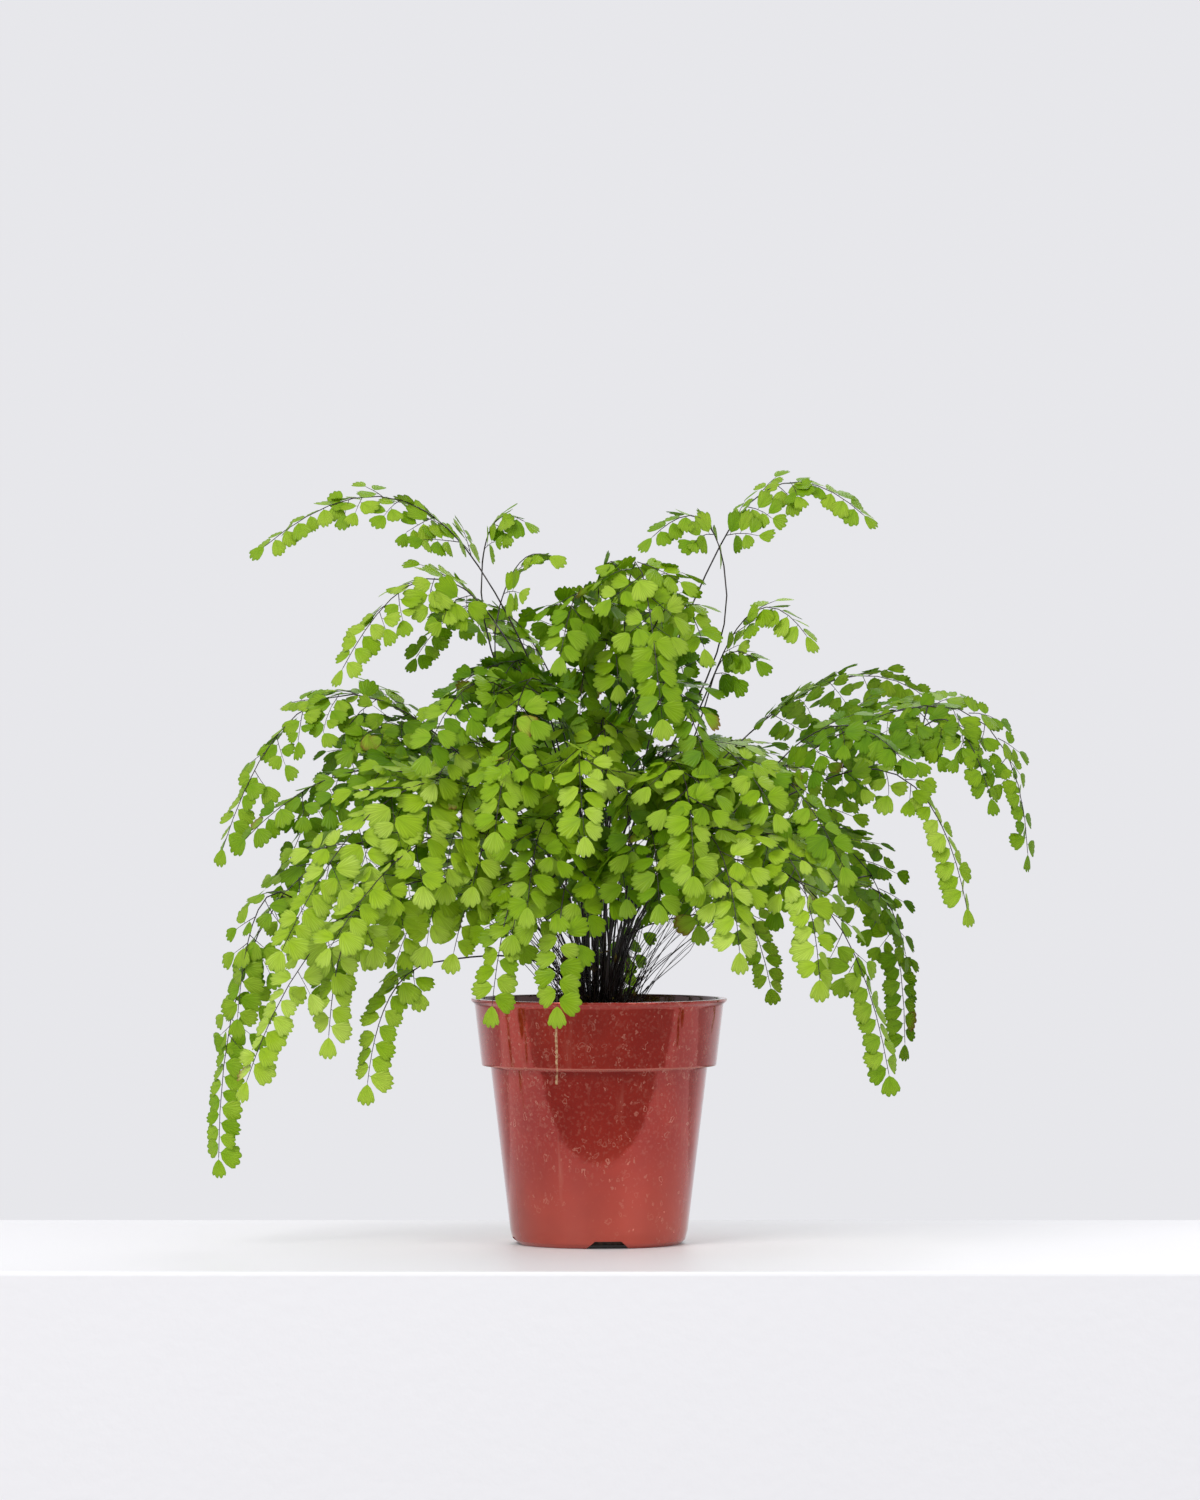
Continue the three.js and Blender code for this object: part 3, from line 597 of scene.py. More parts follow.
LOW_SPRAYS = [
    ("low_middle_left", (-14, -18, 212), (-18, -48, 238), (-22, -78, 198), 30),
    ("low_centre", (8, -22, 214), (12, -54, 242), (16, -86, 200), 30),
    ("low_right", (32, -22, 204), (44, -50, 228), (54, -76, 188), 30),
    ("left_front_b", (-34, -24, 204), (-50, -50, 222), (-64, -74, 182), 30),
    ("middle_front", (0, -14, 244), (2, -42, 270), (4, -68, 236), 28),
    ("middle_left", (-26, -10, 232), (-42, -34, 252), (-60, -54, 222), 28),
    ("heart_right", (24, -8, 236), (38, -32, 256), (54, -52, 228), 26),
    ("back_low_middle", (-6, 12, 214), (-14, 34, 232), (-24, 56, 204), 28),
    ("back_low_right", (16, 12, 210), (28, 34, 228), (42, 54, 200), 28),
    ("right_low_edge", (70, 8, 186), (98, 2, 206), (124, -6, 184), 22),
    ("right_front_a", (62, -6, 176), (84, -18, 196), (108, -30, 176), 22),
    ("rim_left", (-22, -34, 176), (-34, -60, 192), (-44, -82, 158), 28),
    ("top_middle", (0, -8, 286), (6, -28, 312), (10, -48, 284), 28),
    ("heart_left", (-28, 0, 276), (-40, -18, 300), (-54, -34, 276), 26),
    ("left_front_a", (-40, -28, 236), (-62, -50, 258), (-84, -66, 234), 28),
    ("left_low_a", (-156, -26, 178), (-174, -34, 171), (-184, -40, 114), 12),
    ("left_low_b", (-112, -60, 168), (-128, -72, 158), (-136, -80, 106), 10),
    ("left_front_b", (-48, -38, 190), (-62, -54, 186), (-74, -66, 148), 20),
    ("right_far", (168, 12, 266), (186, 4, 264), (202, -4, 226), 16),
    ("right_low_back", (124, 58, 182), (147, 48, 178), (160, 40, 144), 15),
    ("low_right", (30, -20, 182), (42, -40, 190), (51, -56, 162), 22),
    ("top_middle", (28, -20, 316), (42, -40, 328), (54, -56, 302), 15),
    ("top_middle_left", (-2, -8, 318), (4, -20, 349), (14, -36, 336), 13),
]
print("fronds:", len(FRONDS), "and low sprays:", len(LOW_SPRAYS))


# %% The arch of a frond
FACE_LEAN = math.radians(38)
BEHIND_Y = 20
SAG = 0.002
ARCH_STEPS = 64


class Arch:
    """A frond's rib as a curve that is measured along its length, and the lean of its blade."""

    def __init__(self, neck, crest, tip):
        neck, crest, tip = Vector(neck), Vector(crest), Vector(tip)
        handle = 2 * crest - (neck + tip) / 2
        self.points = draw_curve([neck, handle, tip], ARCH_STEPS)
        self.marks = [0.0]
        for before, after in zip(self.points, self.points[1:]):
            self.marks.append(self.marks[-1] + (after - before).length)
        self.length = self.marks[-1]
        self.heading = Vector((tip.x - neck.x, tip.y - neck.y, 0)).normalized()
        self.side = self.heading.cross(UP)
        facing = -1 if tip.y > BEHIND_Y else 1
        self.roll = FACE_LEAN * self.side.y * facing

    def along(self, s):
        """The rib's point and direction at s; past its end it runs on straight."""
        inside = min(max(s, 0.0), self.length)
        number = min(bisect.bisect_right(self.marks, inside), ARCH_STEPS) - 1
        step = self.points[number + 1] - self.points[number]
        share = (inside - self.marks[number]) / step.length
        tangent = step.normalized()
        return self.points[number] + step * share + tangent * (s - inside), tangent

    def spot(self, s, t, fold=0.0):
        """A point of the bent blade, and the direction its upper face looks in there."""
        point, tangent = self.along(s)
        side = (self.side - tangent * self.side.dot(tangent)).normalized()
        normal = side.cross(tangent)
        level = side * math.cos(self.roll) + normal * math.sin(self.roll)
        face = normal * math.cos(self.roll) - side * math.sin(self.roll)
        point = point + level * (t * math.cos(fold)) + face * (abs(t) * math.sin(fold))
        point.z -= SAG * t * t
        outward = face * math.cos(fold) - level * (math.copysign(1, t) * math.sin(fold))
        return point, outward


ARCHES = {row[0]: Arch(*row[1:4]) for row in FRONDS}
print("longest rib in mm:", round(max(arch.length for arch in ARCHES.values())))

# %% [markdown]
# ## Leaflets
# A maidenhair leaflet is a small fan: straight sides that meet in its foot, and a rounded edge
# cut into shallow lobes. A spoke spun about the foot gives the fan with faces that run like the
# veins. The same fan with fewer points, turned over, closes it below, so each leaflet is a thin
# closed solid of four dozen faces, with a hair-thin stem. Five patterns are enough for them all.

# %% Leaflet outlines
# How far the rim reaches at each spoke, in hundredths of the leaflet's length.
RIM_LONG = (24, 50, 80, 95, 100, 91, 99, 102, 100, 89, 96, 97, 85, 86, 76, 52, 28)
RIM_BROAD = (30, 58, 86, 97, 89, 99, 101, 97, 87, 97, 100, 96, 86, 91, 86, 60, 32)
RIM_WAVY = (26, 54, 84, 95, 87, 97, 102, 91, 98, 102, 88, 95, 94, 83, 82, 58, 30)
RIM_END = (24, 54, 86, 95, 87, 96, 100, 100, 86, 98, 101, 96, 86, 93, 82, 52, 24)
FAN_STEPS = len(RIM_LONG) - 1
FAN_MIDDLE = 0.6
FAN_THICKNESS = 0.012
FAN_DROOP = 0.10
SHARP_RIM = math.radians(70)
STEM_RADIUS = 0.013
STEM_LENGTH = 0.09
MERGE_FAN = 1e-5
print("spokes of a fan:", FAN_STEPS)

# %% Leaflet patterns
def turn_share(spot, half_angle):
    """Where a spot lies across the fan: -1 on one side, 1 on the other."""
    return math.atan2(spot.y, spot.x) / half_angle


def shape_fan(bm, half_angle, rim, cup):
    """Draws the rim out to its rounded lobes, thickens the middle, and cups and droops the fan."""
    fan_map = bm.loops.layers.uv.new("fan")
    for face in bm.faces:
        away = [vert.co for vert in face.verts if vert.co.xy.length > 0.1]
        middle = sum(turn_share(spot, half_angle) for spot in away) / 2
        for loop in face.loops:
            spot = loop.vert.co
            across = turn_share(spot, half_angle) if spot.xy.length > 0.1 else middle
            loop[fan_map].uv = (across / 2 + 0.5, spot.xy.length)
    for vert in bm.verts:
        radius = vert.co.xy.length
        across = turn_share(vert.co, half_angle) if radius > 0 else 0
        spread = half_angle * (0.6 * across + 0.4 * across ** 3)
        reach = radius * (rim[round((across + 1) * FAN_STEPS / 2)] / 100)
        thickness = 0 if radius > 0.9 or radius == 0 else FAN_THICKNESS * (1 - across ** 4)
        vert.co.xy = (reach * math.cos(spread), reach * math.sin(spread))
        vert.co.z = thickness + (cup * (across * across - 0.45) - FAN_DROOP) * reach ** 2


def drop_middle_ring(bm):
    """Leaves a fan one ring of faces, with its outline as it was."""
    ring = [vert for vert in bm.verts if abs(vert.co.xy.length - FAN_MIDDLE) < 0.01]
    inner = [edge for edge in bm.edges if edge.verts[0] in ring and edge.verts[1] in ring]
    bmesh.ops.dissolve_edges(bm, edges=inner, use_verts=False, use_face_split=False)
    spare = [vert for vert in ring if not vert.is_boundary]
    bmesh.ops.dissolve_verts(bm, verts=spare, use_face_split=False, use_boundary_tear=False)


def fan_side(half_angle, rim, cup, upper):
    """One skin of a leaflet, as a mesh: the upper one, or the plainer one below."""
    bm = bmesh.new()
    spoke = [bm.verts.new((radius, 0, 0)) for radius in (0, FAN_MIDDLE, 1)]
    rods = [bm.edges.new(spoke[0:2]), bm.edges.new(spoke[1:3])]
    bmesh.ops.rotate(bm, verts=spoke, matrix=Matrix.Rotation(-half_angle, 3, "Z"))
    bmesh.ops.spin(
        bm, geom=spoke + rods, cent=(0, 0, 0), axis=(0, 0, 1), angle=2 * half_angle,
        steps=FAN_STEPS, use_merge=False,
    )
    bmesh.ops.remove_doubles(bm, verts=bm.verts, dist=MERGE_FAN)
    if not upper:
        drop_middle_ring(bm)
    shape_fan(bm, half_angle, rim, cup)
    bm.normal_update()
    if (bm.faces[:][0].normal.z > 0) != upper:
        bmesh.ops.reverse_faces(bm, faces=bm.faces)
    return make_mesh(bm, "side")


def fan_pattern(name, degrees, rim, cup):
    """One leaflet pattern: length 1 along X, upper face +Z, with its hair-thin stem."""
    bm = bmesh.new()
    for upper in (True, False):
        move_mesh(fan_side(math.radians(degrees), rim, cup, upper), bm)
    bmesh.ops.remove_doubles(bm, verts=bm.verts, dist=MERGE_FAN)
    for face in bm.faces:
        face.smooth = True
    for edge in bm.edges:
        edge.smooth = edge.calc_face_angle(0) < SHARP_RIM
    stem = [Vector((-STEM_LENGTH, 0, 0.01)), Vector((0.03, 0, 0))]
    add_rod(bm, stem, [STEM_RADIUS, STEM_RADIUS], 3, 1)
    return make_mesh(bm, name)


SIDE_PATTERNS = [
    fan_pattern("side_long", 55, RIM_LONG, 0.09),
    fan_pattern("side_broad", 62, RIM_BROAD, -0.09),
    fan_pattern("side_wavy", 54, RIM_WAVY, 0.15),
]
END_PATTERNS = [
    fan_pattern("end_fan", 60, RIM_END, 0.10),
    fan_pattern("end_narrow", 50, RIM_END, -0.08),
]
PATTERNS = SIDE_PATTERNS + END_PATTERNS
print("leaflet patterns:", [len(pattern.polygons) for pattern in PATTERNS], "faces")

# %% [markdown]
# ## Side branches
# A side branch forks again near its foot. Twigs with a few leaflets come first, then single
# leaflets by turns left and right, and one at the end. The branch is laid out flat, where
# distances are easy, and the arch then carries every point of it into place.

# %% Lay out a branch
LEAFLET_STEP = 0.315
TWIG_ANGLE = math.radians(68)
TWIG_BEND = 0.006
TWIG_SHARE = 0.36
BRANCH_RADIUS = 0.24
TWIG_RADIUS = 0.16
LONG_ENOUGH = 2.0


def turn_point(start, heading, distance, bend):
    """A spot of a slightly bent line on the flat plan."""
    angle = heading + bend * distance
    return (start[0] + distance * math.cos(angle), start[1] + distance * math.sin(angle))


def lay_twig(plan, start, heading, length, leaf, forks, luck):
    """Adds a wire and its leaflets of length leaf to the plan, and twigs near its foot if it forks."""
    bend = luck.uniform(-TWIG_BEND, TWIG_BEND)
    steps = 3 if forks else 2
    ends = [turn_point(start, heading, length * step / steps, bend) for step in range(steps + 1)]
    plan["wires"].append((ends, BRANCH_RADIUS if forks else TWIG_RADIUS))
    u = luck.uniform(0.25, 0.4) * leaf
    side = luck.choice((-1, 1))
    while u < length - 0.2 * leaf:
        foot = turn_point(start, heading, u, bend)
        angle = heading + side * (TWIG_ANGLE + luck.uniform(-0.13, 0.13))
        rest = length - u
        if forks and rest > LONG_ENOUGH * leaf:
            lay_twig(plan, foot, angle, TWIG_SHARE * rest + 2, leaf, False, luck)
            u += LEAFLET_STEP * leaf * 0.5
        else:
            size = leaf * luck.uniform(0.76, 1.13) * (0.66 + 0.34 * min(rest / (1.3 * leaf), 1))
            plan["leaflets"].append((foot, angle, size, side))
        u += LEAFLET_STEP * leaf * luck.uniform(0.88, 1.1)
        side = -side
    plan["leaflets"].append((ends[-1], heading, leaf * luck.uniform(0.72, 0.92), 0))


# %% Put a branch on its frond
BRANCH_ANGLE = math.radians(56)
BRANCH_FOLD = math.radians(-24)
BRANCH_THINNING = 0.15
HEART = Vector((0, 0, 215))
HEART_REACH = 185
OLD_AGE = 0.99
OLD_SHARE = 0.01


def plan_place(arch, station, side, fold, spot):
    """Carries a spot of the flat plan on to the bent blade."""
    u, v = spot
    s = station + u * math.cos(BRANCH_ANGLE) + v * math.sin(BRANCH_ANGLE)
    t = side * (u * math.sin(BRANCH_ANGLE) - v * math.cos(BRANCH_ANGLE))
    return arch.spot(s, t, fold)


def add_leaflet(bm, foot, direction, outward, size, age_and_shade, hand, luck):
    """A copy of one pattern, turned a little about its own axis, with its tip drooping."""
    tilt = Matrix.Rotation(luck.uniform(-0.32, 0.32), 4, "X")
    forward = (direction.normalized() - UP * luck.uniform(-0.05, 0.12)).normalized()
    if hand > 0:
        outward = -outward
    across = outward.cross(forward).normalized()
    upward = forward.cross(across)
    turn = Matrix((forward, across, upward)).transposed().to_4x4()
    place = Matrix.Translation(foot) @ turn @ tilt
    place = place @ Matrix.Translation((size * STEM_LENGTH, 0, 0)) @ Matrix.Scale(size, 4)
    first = len(bm.verts)
    bm.from_mesh(luck.choice(SIDE_PATTERNS if hand else END_PATTERNS))
    fresh = bm.verts[:][first:]
    bmesh.ops.transform(bm, matrix=place, verts=fresh)
    age_and_shade_layer = bm.verts.layers.float["age_and_shade"]
    for vert in fresh:
        vert[age_and_shade_layer] = age_and_shade


def add_branch(bm, arch, station, side, length, leaf, luck):
    """One side branch, built by itself and then added to its frond; gives back its leaflet count."""
    plan = {"wires": [], "leaflets": []}
    fold = BRANCH_FOLD + luck.uniform(-0.3, 0.3)
    if length > 0.75 * leaf:
        lay_twig(plan, (0, 0), luck.uniform(-0.1, 0.1), length, leaf, True, luck)
    else:
        plan["leaflets"].append(((0, 0), -0.3, leaf * luck.uniform(0.72, 0.95), 1))
    branch_bm = bmesh.new()
    branch_bm.verts.layers.float.new("age_and_shade")
    for points, radius in plan["wires"]:
        path = [plan_place(arch, station, side, fold, point)[0] for point in points]
        radii = [radius * (1 - BRANCH_THINNING * number) for number in range(len(path))]
        add_rod(branch_bm, path, radii, 4, 1)
    for foot, angle, size, hand in plan["leaflets"]:
        point, outward = plan_place(arch, station, side, fold, foot)
        ahead = (foot[0] + math.cos(angle), foot[1] + math.sin(angle))
        direction = plan_place(arch, station, side, fold, ahead)[0] - point
        # Painted shade: leaflets near the plant's heart get a lower number and so a darker green, outer ones
        # a paler green.
        outside = min((point - HEART).length / HEART_REACH, 1)
        age_and_shade = OLD_AGE if luck.random() < OLD_SHARE else luck.uniform(0.0, 0.5) + 0.45 * outside
        add_leaflet(branch_bm, point, direction, outward, size, age_and_shade, hand * side, luck)
    move_mesh(make_mesh(branch_bm, "branch"), bm)
    return len(plan["leaflets"])


# %% [markdown]
# ## Whole fronds
# Each frond is one piece: a wiry rib that thins to its tip, with branches by turns on both sides,
# each shorter than the last, and the low sprays that fork from it. It stands for the plain blade
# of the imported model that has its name.

# %% Where the stalks run
STALK_ROOT_Z = 112
STALK_STEPS = 14


def stalk_spread(number):
    """How far from the middle a stalk leaves the crown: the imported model's own draw."""
    return 3 + 9 * (((number + 1) * 7919 + 17) * 16807 % 2147483647) / 2147483647


def stalk_path(arch, number):
    """The stalk of one frond: out of the crown, then straight into the start of its rib."""
    root = arch.heading * stalk_spread(number) + UP * STALK_ROOT_Z
    neck, tangent = arch.along(0)
    span = (neck - root).length
    rise = root + arch.heading * 4 + UP * (0.45 * span)
    lead = neck - tangent * (0.3 * span)
    return draw_curve([root, rise, lead, neck], STALK_STEPS)


STALKS = {row[0]: stalk_path(ARCHES[row[0]], number) for number, row in enumerate(FRONDS)}
print("stalks:", len(STALKS))

# %% Grow every frond
BRANCH_STEP = 0.84
FIRST_BRANCH = 7.0
SMALL_LEAFLET = 11.4
FRONT_GROWTH = 2.8
FRONT_Y = -90
RIB_STEPS = 10
RIB_RADIUS = 0.40
RIB_THINNING = 0.022
FORK_LOW = 0.6
FORK_STEPS = 6


def grow_blade(bm, arch, reach, luck):
    """The rib of a blade with all its branches; gives back how many leaflets they hold."""
    leaf = SMALL_LEAFLET + FRONT_GROWTH * min(max(arch.points[-1].y / FRONT_Y, 0), 1)
    end = arch.length - 0.3 * leaf
    rib = [arch.spot(end * step / RIB_STEPS, 0)[0] for step in range(RIB_STEPS + 1)]
    add_rod(bm, rib, [RIB_RADIUS - RIB_THINNING * step for step in range(RIB_STEPS + 1)], 6, 1)
    count = 1
    s = FIRST_BRANCH
    side = 1
    while s < end - 1.5:
        length = (reach + 8) * (1 - 1.10 * s / arch.length) * luck.uniform(0.88, 1.08)
        count += add_branch(bm, arch, s, side, max(length, 1), leaf, luck)
        s += leaf * (BRANCH_STEP if length > leaf else LEAFLET_STEP) * luck.uniform(0.88, 1.1)
        side = -side
    point, outward = arch.spot(end, 0)
    direction = arch.along(end)[1]
    add_leaflet(bm, point, direction, outward, leaf * 0.8, 0.7, 0, luck)
    return count


def fork_path(name, arch):
    """The wire of a low spray, from a near and low point of its frond's stalk or rib."""
    owner = ARCHES[name]
    ribs = [owner.spot(owner.length * step / 20, 0)[0] for step in range(11)]
    start, tangent = arch.along(0)
    fork = min(STALKS[name][2:] + ribs, key=lambda point: (point - start).length + FORK_LOW * point.z)
    span = (start - fork).length
    bow = [fork, fork.lerp(start, 0.5) + UP * (0.1 * span), start - tangent * (0.25 * span), start]
    return draw_curve(bow, FORK_STEPS)


def grow_frond(name, reach, green, seed):
    """A finished frond piece with its low sprays; gives back how many leaflets it has."""
    luck = random.Random(seed)
    bm = bmesh.new()
    bm.verts.layers.float.new("age_and_shade")
    count = grow_blade(bm, ARCHES[name], reach, luck)
    for owner, neck, crest, tip, spray_reach in LOW_SPRAYS:
        if owner == name:
            arch = Arch(neck, crest, tip)
            add_rod(bm, fork_path(name, arch), [RIB_RADIUS] * (FORK_STEPS + 1), 5, 1)
            count += grow_blade(bm, arch, spray_reach, luck)
    finish_piece(bm, "fern_" + name, [GREENS[green], STALK], "frond_" + name)
    return count


leaflets = [grow_frond(row[0], row[4], row[5], seed) for seed, row in enumerate(FRONDS)]
print("leaflets:", sum(leaflets), "most on one frond:", max(leaflets))

# %% [markdown]
# ## Pot
# A moulded nursery pot is a body of revolution, so half its outline is drawn once and spun. Its
# ring edges are beveled, because soft edges catch thin highlights. The drainage notches at the
# base are cut afterwards, with a Boolean whose result is kept as the mesh.

# %% Spin the pot
POT_OUTLINE = [
    (0, 0.0), (37.0, 0.0), (42.0, 0.0), (44.4, 2.2), (45.6, 7.0), (55.8, 91.5), (60.3, 91.5), (64.0, 123.2),
    (65.8, 124.6), (65.8, 126.0), (62.4, 126.0), (58.7, 93.1), (54.2, 93.1), (44.0, 7.0), (42.0, 2.4),
    (40.0, 1.6), (0, 1.6),
]
POT_STEPS = 96
HOLD = 1.3
MERGE_RING = 1e-4
RING_TURN = math.radians(18)
RING_BEVEL = 0.45


def hold_corners(outline):
    """Adds a ring close to both ends of every long straight run, so that its shading stays even."""
    held = [outline[0]]
    for first, second in zip(outline, outline[1:]):
        run = math.dist(first, second)
        for share in ((HOLD / run, 1 - HOLD / run) if run > 3 * HOLD else ()):
            held.append(tuple(a + (b - a) * share for a, b in zip(first, second)))
        held.append(second)
    return held


def spin_outline(bm, outline, steps):
    """Turns an outline of radius and height once round the Z axis."""
    verts = [bm.verts.new((radius, 0, z)) for radius, z in outline]
    edges = [bm.edges.new(pair) for pair in zip(verts, verts[1:])]
    bmesh.ops.spin(
        bm, geom=verts + edges, cent=(0, 0, 0), axis=(0, 0, 1), angle=2 * math.pi,
        steps=steps, use_merge=True,
    )
    bmesh.ops.remove_doubles(bm, verts=bm.verts, dist=MERGE_RING)
    bmesh.ops.recalc_face_normals(bm, faces=bm.faces)


pot_bm = bmesh.new()
spin_outline(pot_bm, hold_corners(POT_OUTLINE), POT_STEPS)
rings = [edge for edge in pot_bm.edges if edge.calc_face_angle(0) > RING_TURN]
bmesh.ops.bevel(
    pot_bm, geom=rings, offset=RING_BEVEL, affect="EDGES", segments=2, profile=0.5, material=-1,
    clamp_overlap=True,
)
for face in pot_bm.faces:
    face.smooth = True
print("pot faces:", len(pot_bm.faces), "beveled rings:", len(rings) // POT_STEPS)
pot = finish_piece(pot_bm, "pot_body", [POT], "pot")

# %% Cut its drainage notches
NOTCHES = 4
NOTCH_TURN = math.radians(6)
NOTCH_SIZE = (13.5, 15, 4.9)
NOTCH_FLARE = (1.8, 1, 1)
NOTCH_PLACE = (0, -44.5, 1.45)
SMOOTH_BELOW = math.radians(40)
notch_bm = bmesh.new()
for number in range(NOTCHES):
    block = bmesh.ops.create_cube(notch_bm, size=1.0)["verts"]
    bmesh.ops.scale(notch_bm, vec=NOTCH_SIZE, verts=block)
    feet = [vert for vert in block if vert.co.z < 0]
    bmesh.ops.scale(notch_bm, vec=NOTCH_FLARE, verts=feet)
    bmesh.ops.translate(notch_bm, vec=NOTCH_PLACE, verts=block)
    turn = Matrix.Rotation(NOTCH_TURN + number * 2 * math.pi / NOTCHES, 3, "Z")
    bmesh.ops.rotate(notch_bm, matrix=turn, verts=block)
bmesh.ops.scale(notch_bm, vec=(MM, MM, MM), verts=notch_bm.verts)
notch_tool = make_object(notch_bm, "notches", [])
cut = pot.modifiers.new("notches", "BOOLEAN")
cut.operation = "DIFFERENCE"
cut.solver = "EXACT"
cut.object = notch_tool
bpy.context.view_layer.update()
cut_mesh = bpy.data.meshes.new_from_object(pot.evaluated_get(bpy.context.evaluated_depsgraph_get()))
pot.modifiers.clear()
pot.data = cut_mesh
bpy.data.objects.remove(notch_tool)
cut_mesh.set_sharp_from_angle(angle=SMOOTH_BELOW)
print("pot with notches:", len(cut_mesh.polygons), "faces")

# %% [markdown]
# ## Soil
# The pot is filled with peat that mounds a little towards the crown. The mound is spun with many
# rings, and its top is then crumbled by a noise, with some loose crumbs pressed into it.

# %% Soil
SOIL_OUTLINE = [
    (0, 1.9), (39, 1.9), (43.7, 9.0), (53.9, 93.4), (58.4, 93.4), (59.6, 112.0), (57, 112.4), (54, 112.8),
    (51, 113.1), (48, 113.5), (45, 113.9), (42, 114.3), (39, 114.7), (36, 115.1), (33, 115.5), (30, 115.8),
    (27, 116.1), (24, 116.4), (21, 116.7), (16.3, 117.0), (16.3, 104.0), (0, 104.0),
]
SOIL_STEPS = 72
SOIL_SLOPE = 0.095
CRUMBS = 150
soil_bm = bmesh.new()
spin_outline(soil_bm, SOIL_OUTLINE, SOIL_STEPS)
for vert in soil_bm.verts:
    if vert.co.z > 111 and vert.co.xy.length > 17:
        vert.co.z += 1.1 * noise.noise(vert.co * 0.16) + 0.7 * noise.noise(vert.co * 0.5)
soil_luck = random.Random(5)
for number in range(CRUMBS):
    size = soil_luck.uniform(0.6, 1.9)
    crumb = bmesh.ops.create_icosphere(soil_bm, subdivisions=1, radius=size)["verts"]
    angle = soil_luck.uniform(0, 2 * math.pi)
    radius = 17.5 + 40 * math.sqrt(soil_luck.random())
    flat = (1, soil_luck.uniform(0.6, 1), soil_luck.uniform(0.4, 0.7))
    bmesh.ops.scale(soil_bm, vec=flat, verts=crumb)
    bmesh.ops.rotate(soil_bm, matrix=Matrix.Rotation(soil_luck.uniform(0, 3), 3, "Z"), verts=crumb)
    spot = ring_spot(angle, radius, 118.0 - SOIL_SLOPE * radius)
    bmesh.ops.translate(soil_bm, vec=spot, verts=crumb)
for face in soil_bm.faces:
    face.smooth = len(face.verts) == 4
print("soil faces:", len(soil_bm.faces))
finish_piece(soil_bm, "soil_peat", [SOIL], "soil")

# %% [markdown]
# ## Crown and stalks
# A short rhizome sits in the soil, shaggy with narrow brown scales, and every frond's stalk rises
# from it. A stalk is a polished round wire that leans out only slowly, then runs straight into
# the start of its frond's rib. Bare old stems stand between the stalks, wiry roots arch over the
# soil, and dry bits of old leaflets hang in the tuft.

# %% Rhizome
CROWN_OUTLINE = [(0, 104.3), (16, 104.3), (16, 117), (14.5, 119), (11.2, 120.4), (6, 121.5), (0, 122)]
CROWN_STEPS = 24
SCALES = 170
SCALES_RADIUS = 14.5
crown_bm = bmesh.new()
spin_outline(crown_bm, CROWN_OUTLINE, CROWN_STEPS)
crown_luck = random.Random(11)
for number in range(SCALES):
    angle = crown_luck.uniform(0, 2 * math.pi)
    radius = SCALES_RADIUS * math.sqrt(crown_luck.random())
    height = crown_luck.uniform(4, 9)
    scale_verts = bmesh.ops.create_cone(
        crown_bm, cap_ends=True, segments=4, radius1=0.7, radius2=0.08, depth=height,
    )["verts"]
    lean = Matrix.Rotation(radius / SCALES_RADIUS * 0.9 + crown_luck.uniform(-0.2, 0.2), 3, "Y")
    bmesh.ops.rotate(crown_bm, matrix=Matrix.Rotation(angle, 3, "Z") @ lean, verts=scale_verts)
    spot = ring_spot(angle, radius, 121.5 - 0.016 * radius ** 2)
    bmesh.ops.translate(crown_bm, vec=spot, verts=scale_verts)
print("crown faces:", len(crown_bm.faces))

# %% Stalks
STALK_RADIUS = 0.56
STALK_THINNING = 0.012
for path in STALKS.values():
    radii = [STALK_RADIUS - STALK_THINNING * step for step in range(STALK_STEPS + 1)]
    add_rod(crown_bm, path, radii, 6, 0)
print("stalks drawn:", len(STALKS))

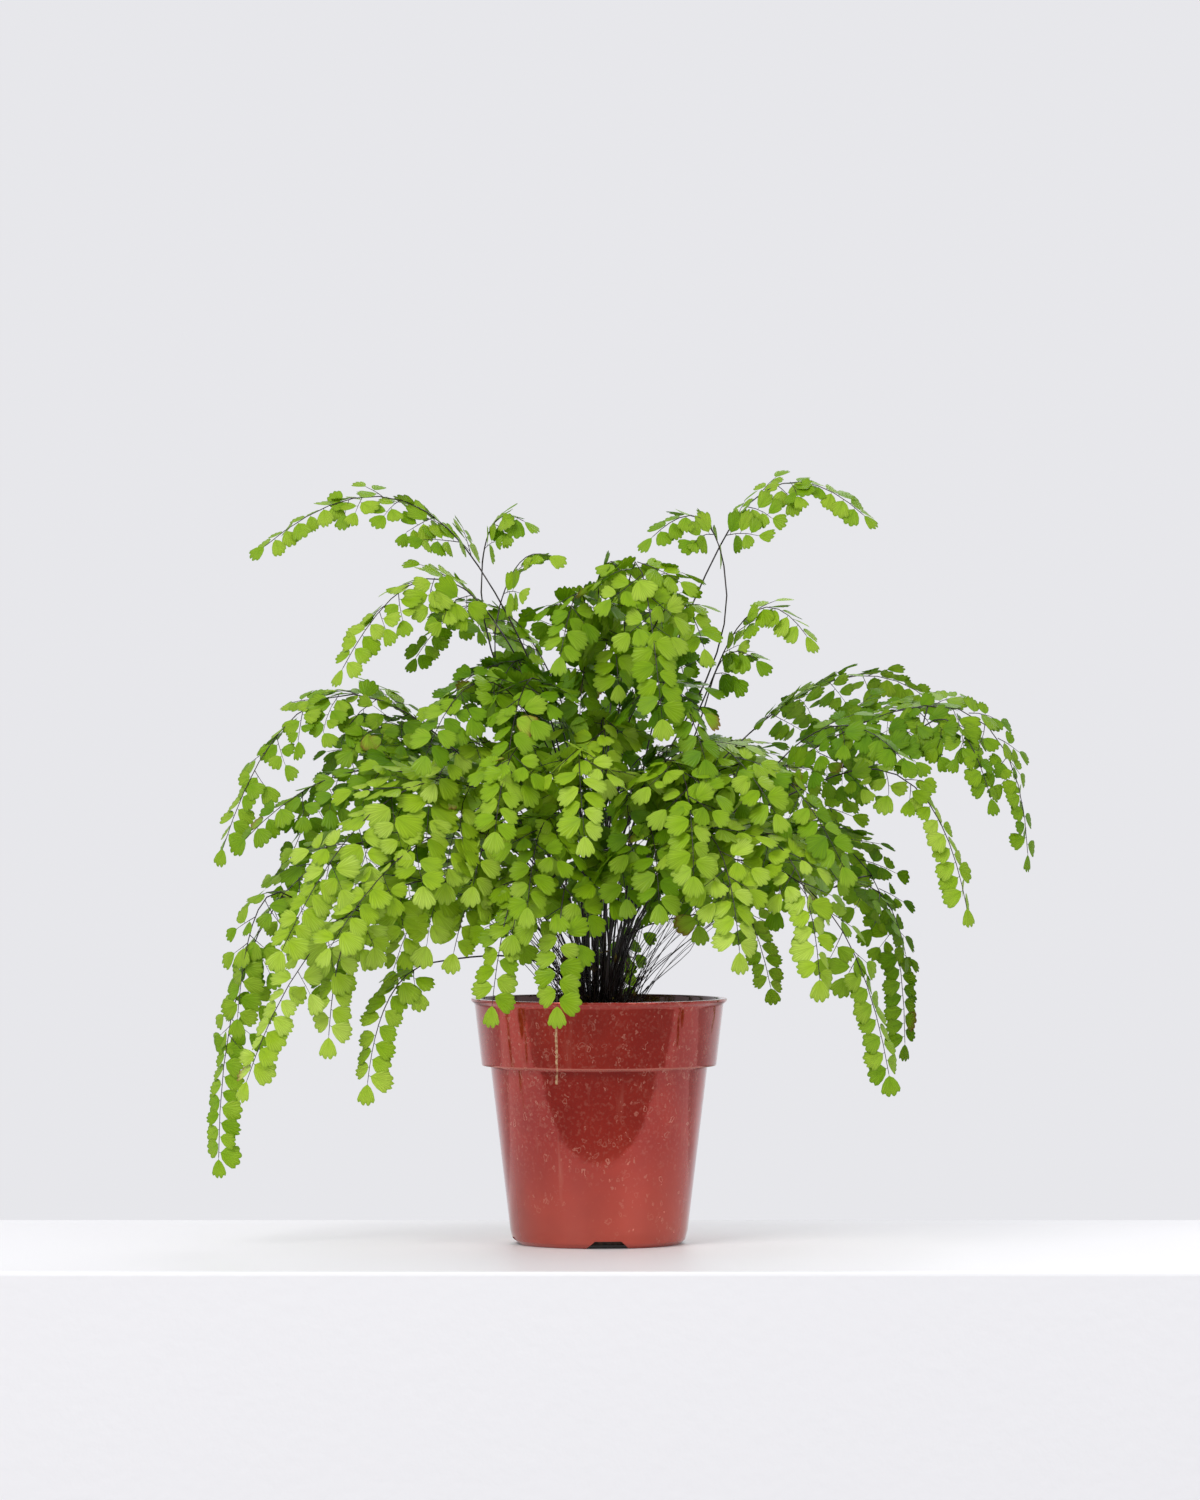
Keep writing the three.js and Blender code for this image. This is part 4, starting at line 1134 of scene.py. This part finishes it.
# %% Thin old stems, one in three of them tall
OLD_STEMS = 280
OLD_STEM_STEPS = 8
for number in range(OLD_STEMS):
    heading = ring_spot(crown_luck.uniform(0, 2 * math.pi), 1, 0)
    root = heading * (19 * math.sqrt(crown_luck.random())) + UP * STALK_ROOT_Z
    tall = number % 3 == 0
    height = crown_luck.uniform(48, 84) if tall else crown_luck.uniform(12, 44)
    lean = crown_luck.uniform(0.05, 1.10) if tall else crown_luck.uniform(-0.5, 0.9)
    tip = root + heading * (height * lean) + UP * height
    swing = sway(crown_luck, 9)
    low = root + UP * (0.35 * height) + swing
    high = root.lerp(tip, 0.7) - swing * 0.8 + UP * 0.06 * height
    thick = crown_luck.uniform(0.17, 0.32)
    radii = [thick * (1 - 0.05 * step) for step in range(OLD_STEM_STEPS + 1)]
    add_rod(crown_bm, draw_curve([root, low, high, tip], OLD_STEM_STEPS), radii, 4, 0)
print("old stems:", OLD_STEMS)

# %% Wiry roots on the soil
SURFACE_ROOTS = 90
ROOT_STEPS = 7
ROOT_RADIUS = 0.32
ROOT_DEPTH = 3
for number in range(SURFACE_ROOTS):
    angle = crown_luck.uniform(0, 2 * math.pi)
    radius = crown_luck.uniform(12, 46)
    start = ring_spot(angle, radius, 118.5 - SOIL_SLOPE * radius)
    first_turn = sway(crown_luck, 7) + UP * crown_luck.uniform(2, 9)
    second_turn = sway(crown_luck, 7) + UP * crown_luck.uniform(2, 9)
    end = start + sway(crown_luck, 8) - UP * ROOT_DEPTH
    bow = [start - UP * ROOT_DEPTH, start + first_turn, start.lerp(end, 0.6) + second_turn, end]
    add_rod(crown_bm, draw_curve(bow, ROOT_STEPS), [ROOT_RADIUS] * (ROOT_STEPS + 1), 4, 0)
print("roots on the soil:", SURFACE_ROOTS)

# %% Dry bits of old leaflets
DRY_BITS = 46
for number in range(DRY_BITS):
    angle = crown_luck.uniform(0, 2 * math.pi)
    radius = crown_luck.uniform(4, 26)
    spot = ring_spot(angle, radius, crown_luck.uniform(118, 150))
    turn = Matrix.Rotation(crown_luck.uniform(0, 6), 4, "Z")
    turn = turn @ Matrix.Rotation(crown_luck.uniform(-2, 2), 4, "Y")
    first = len(crown_bm.verts)
    crown_bm.from_mesh(crown_luck.choice(PATTERNS))
    fresh = crown_bm.verts[:][first:]
    place = Matrix.Translation(spot) @ turn @ Matrix.Scale(crown_luck.uniform(2.2, 5.0), 4)
    bmesh.ops.transform(crown_bm, matrix=place, verts=fresh)
    for vert in fresh:
        for face in vert.link_faces:
            face.material_index = 1
print("crown and stalks:", len(crown_bm.faces), "faces")
finish_piece(crown_bm, "crown_stalks", [STALK, DRY], "crown")
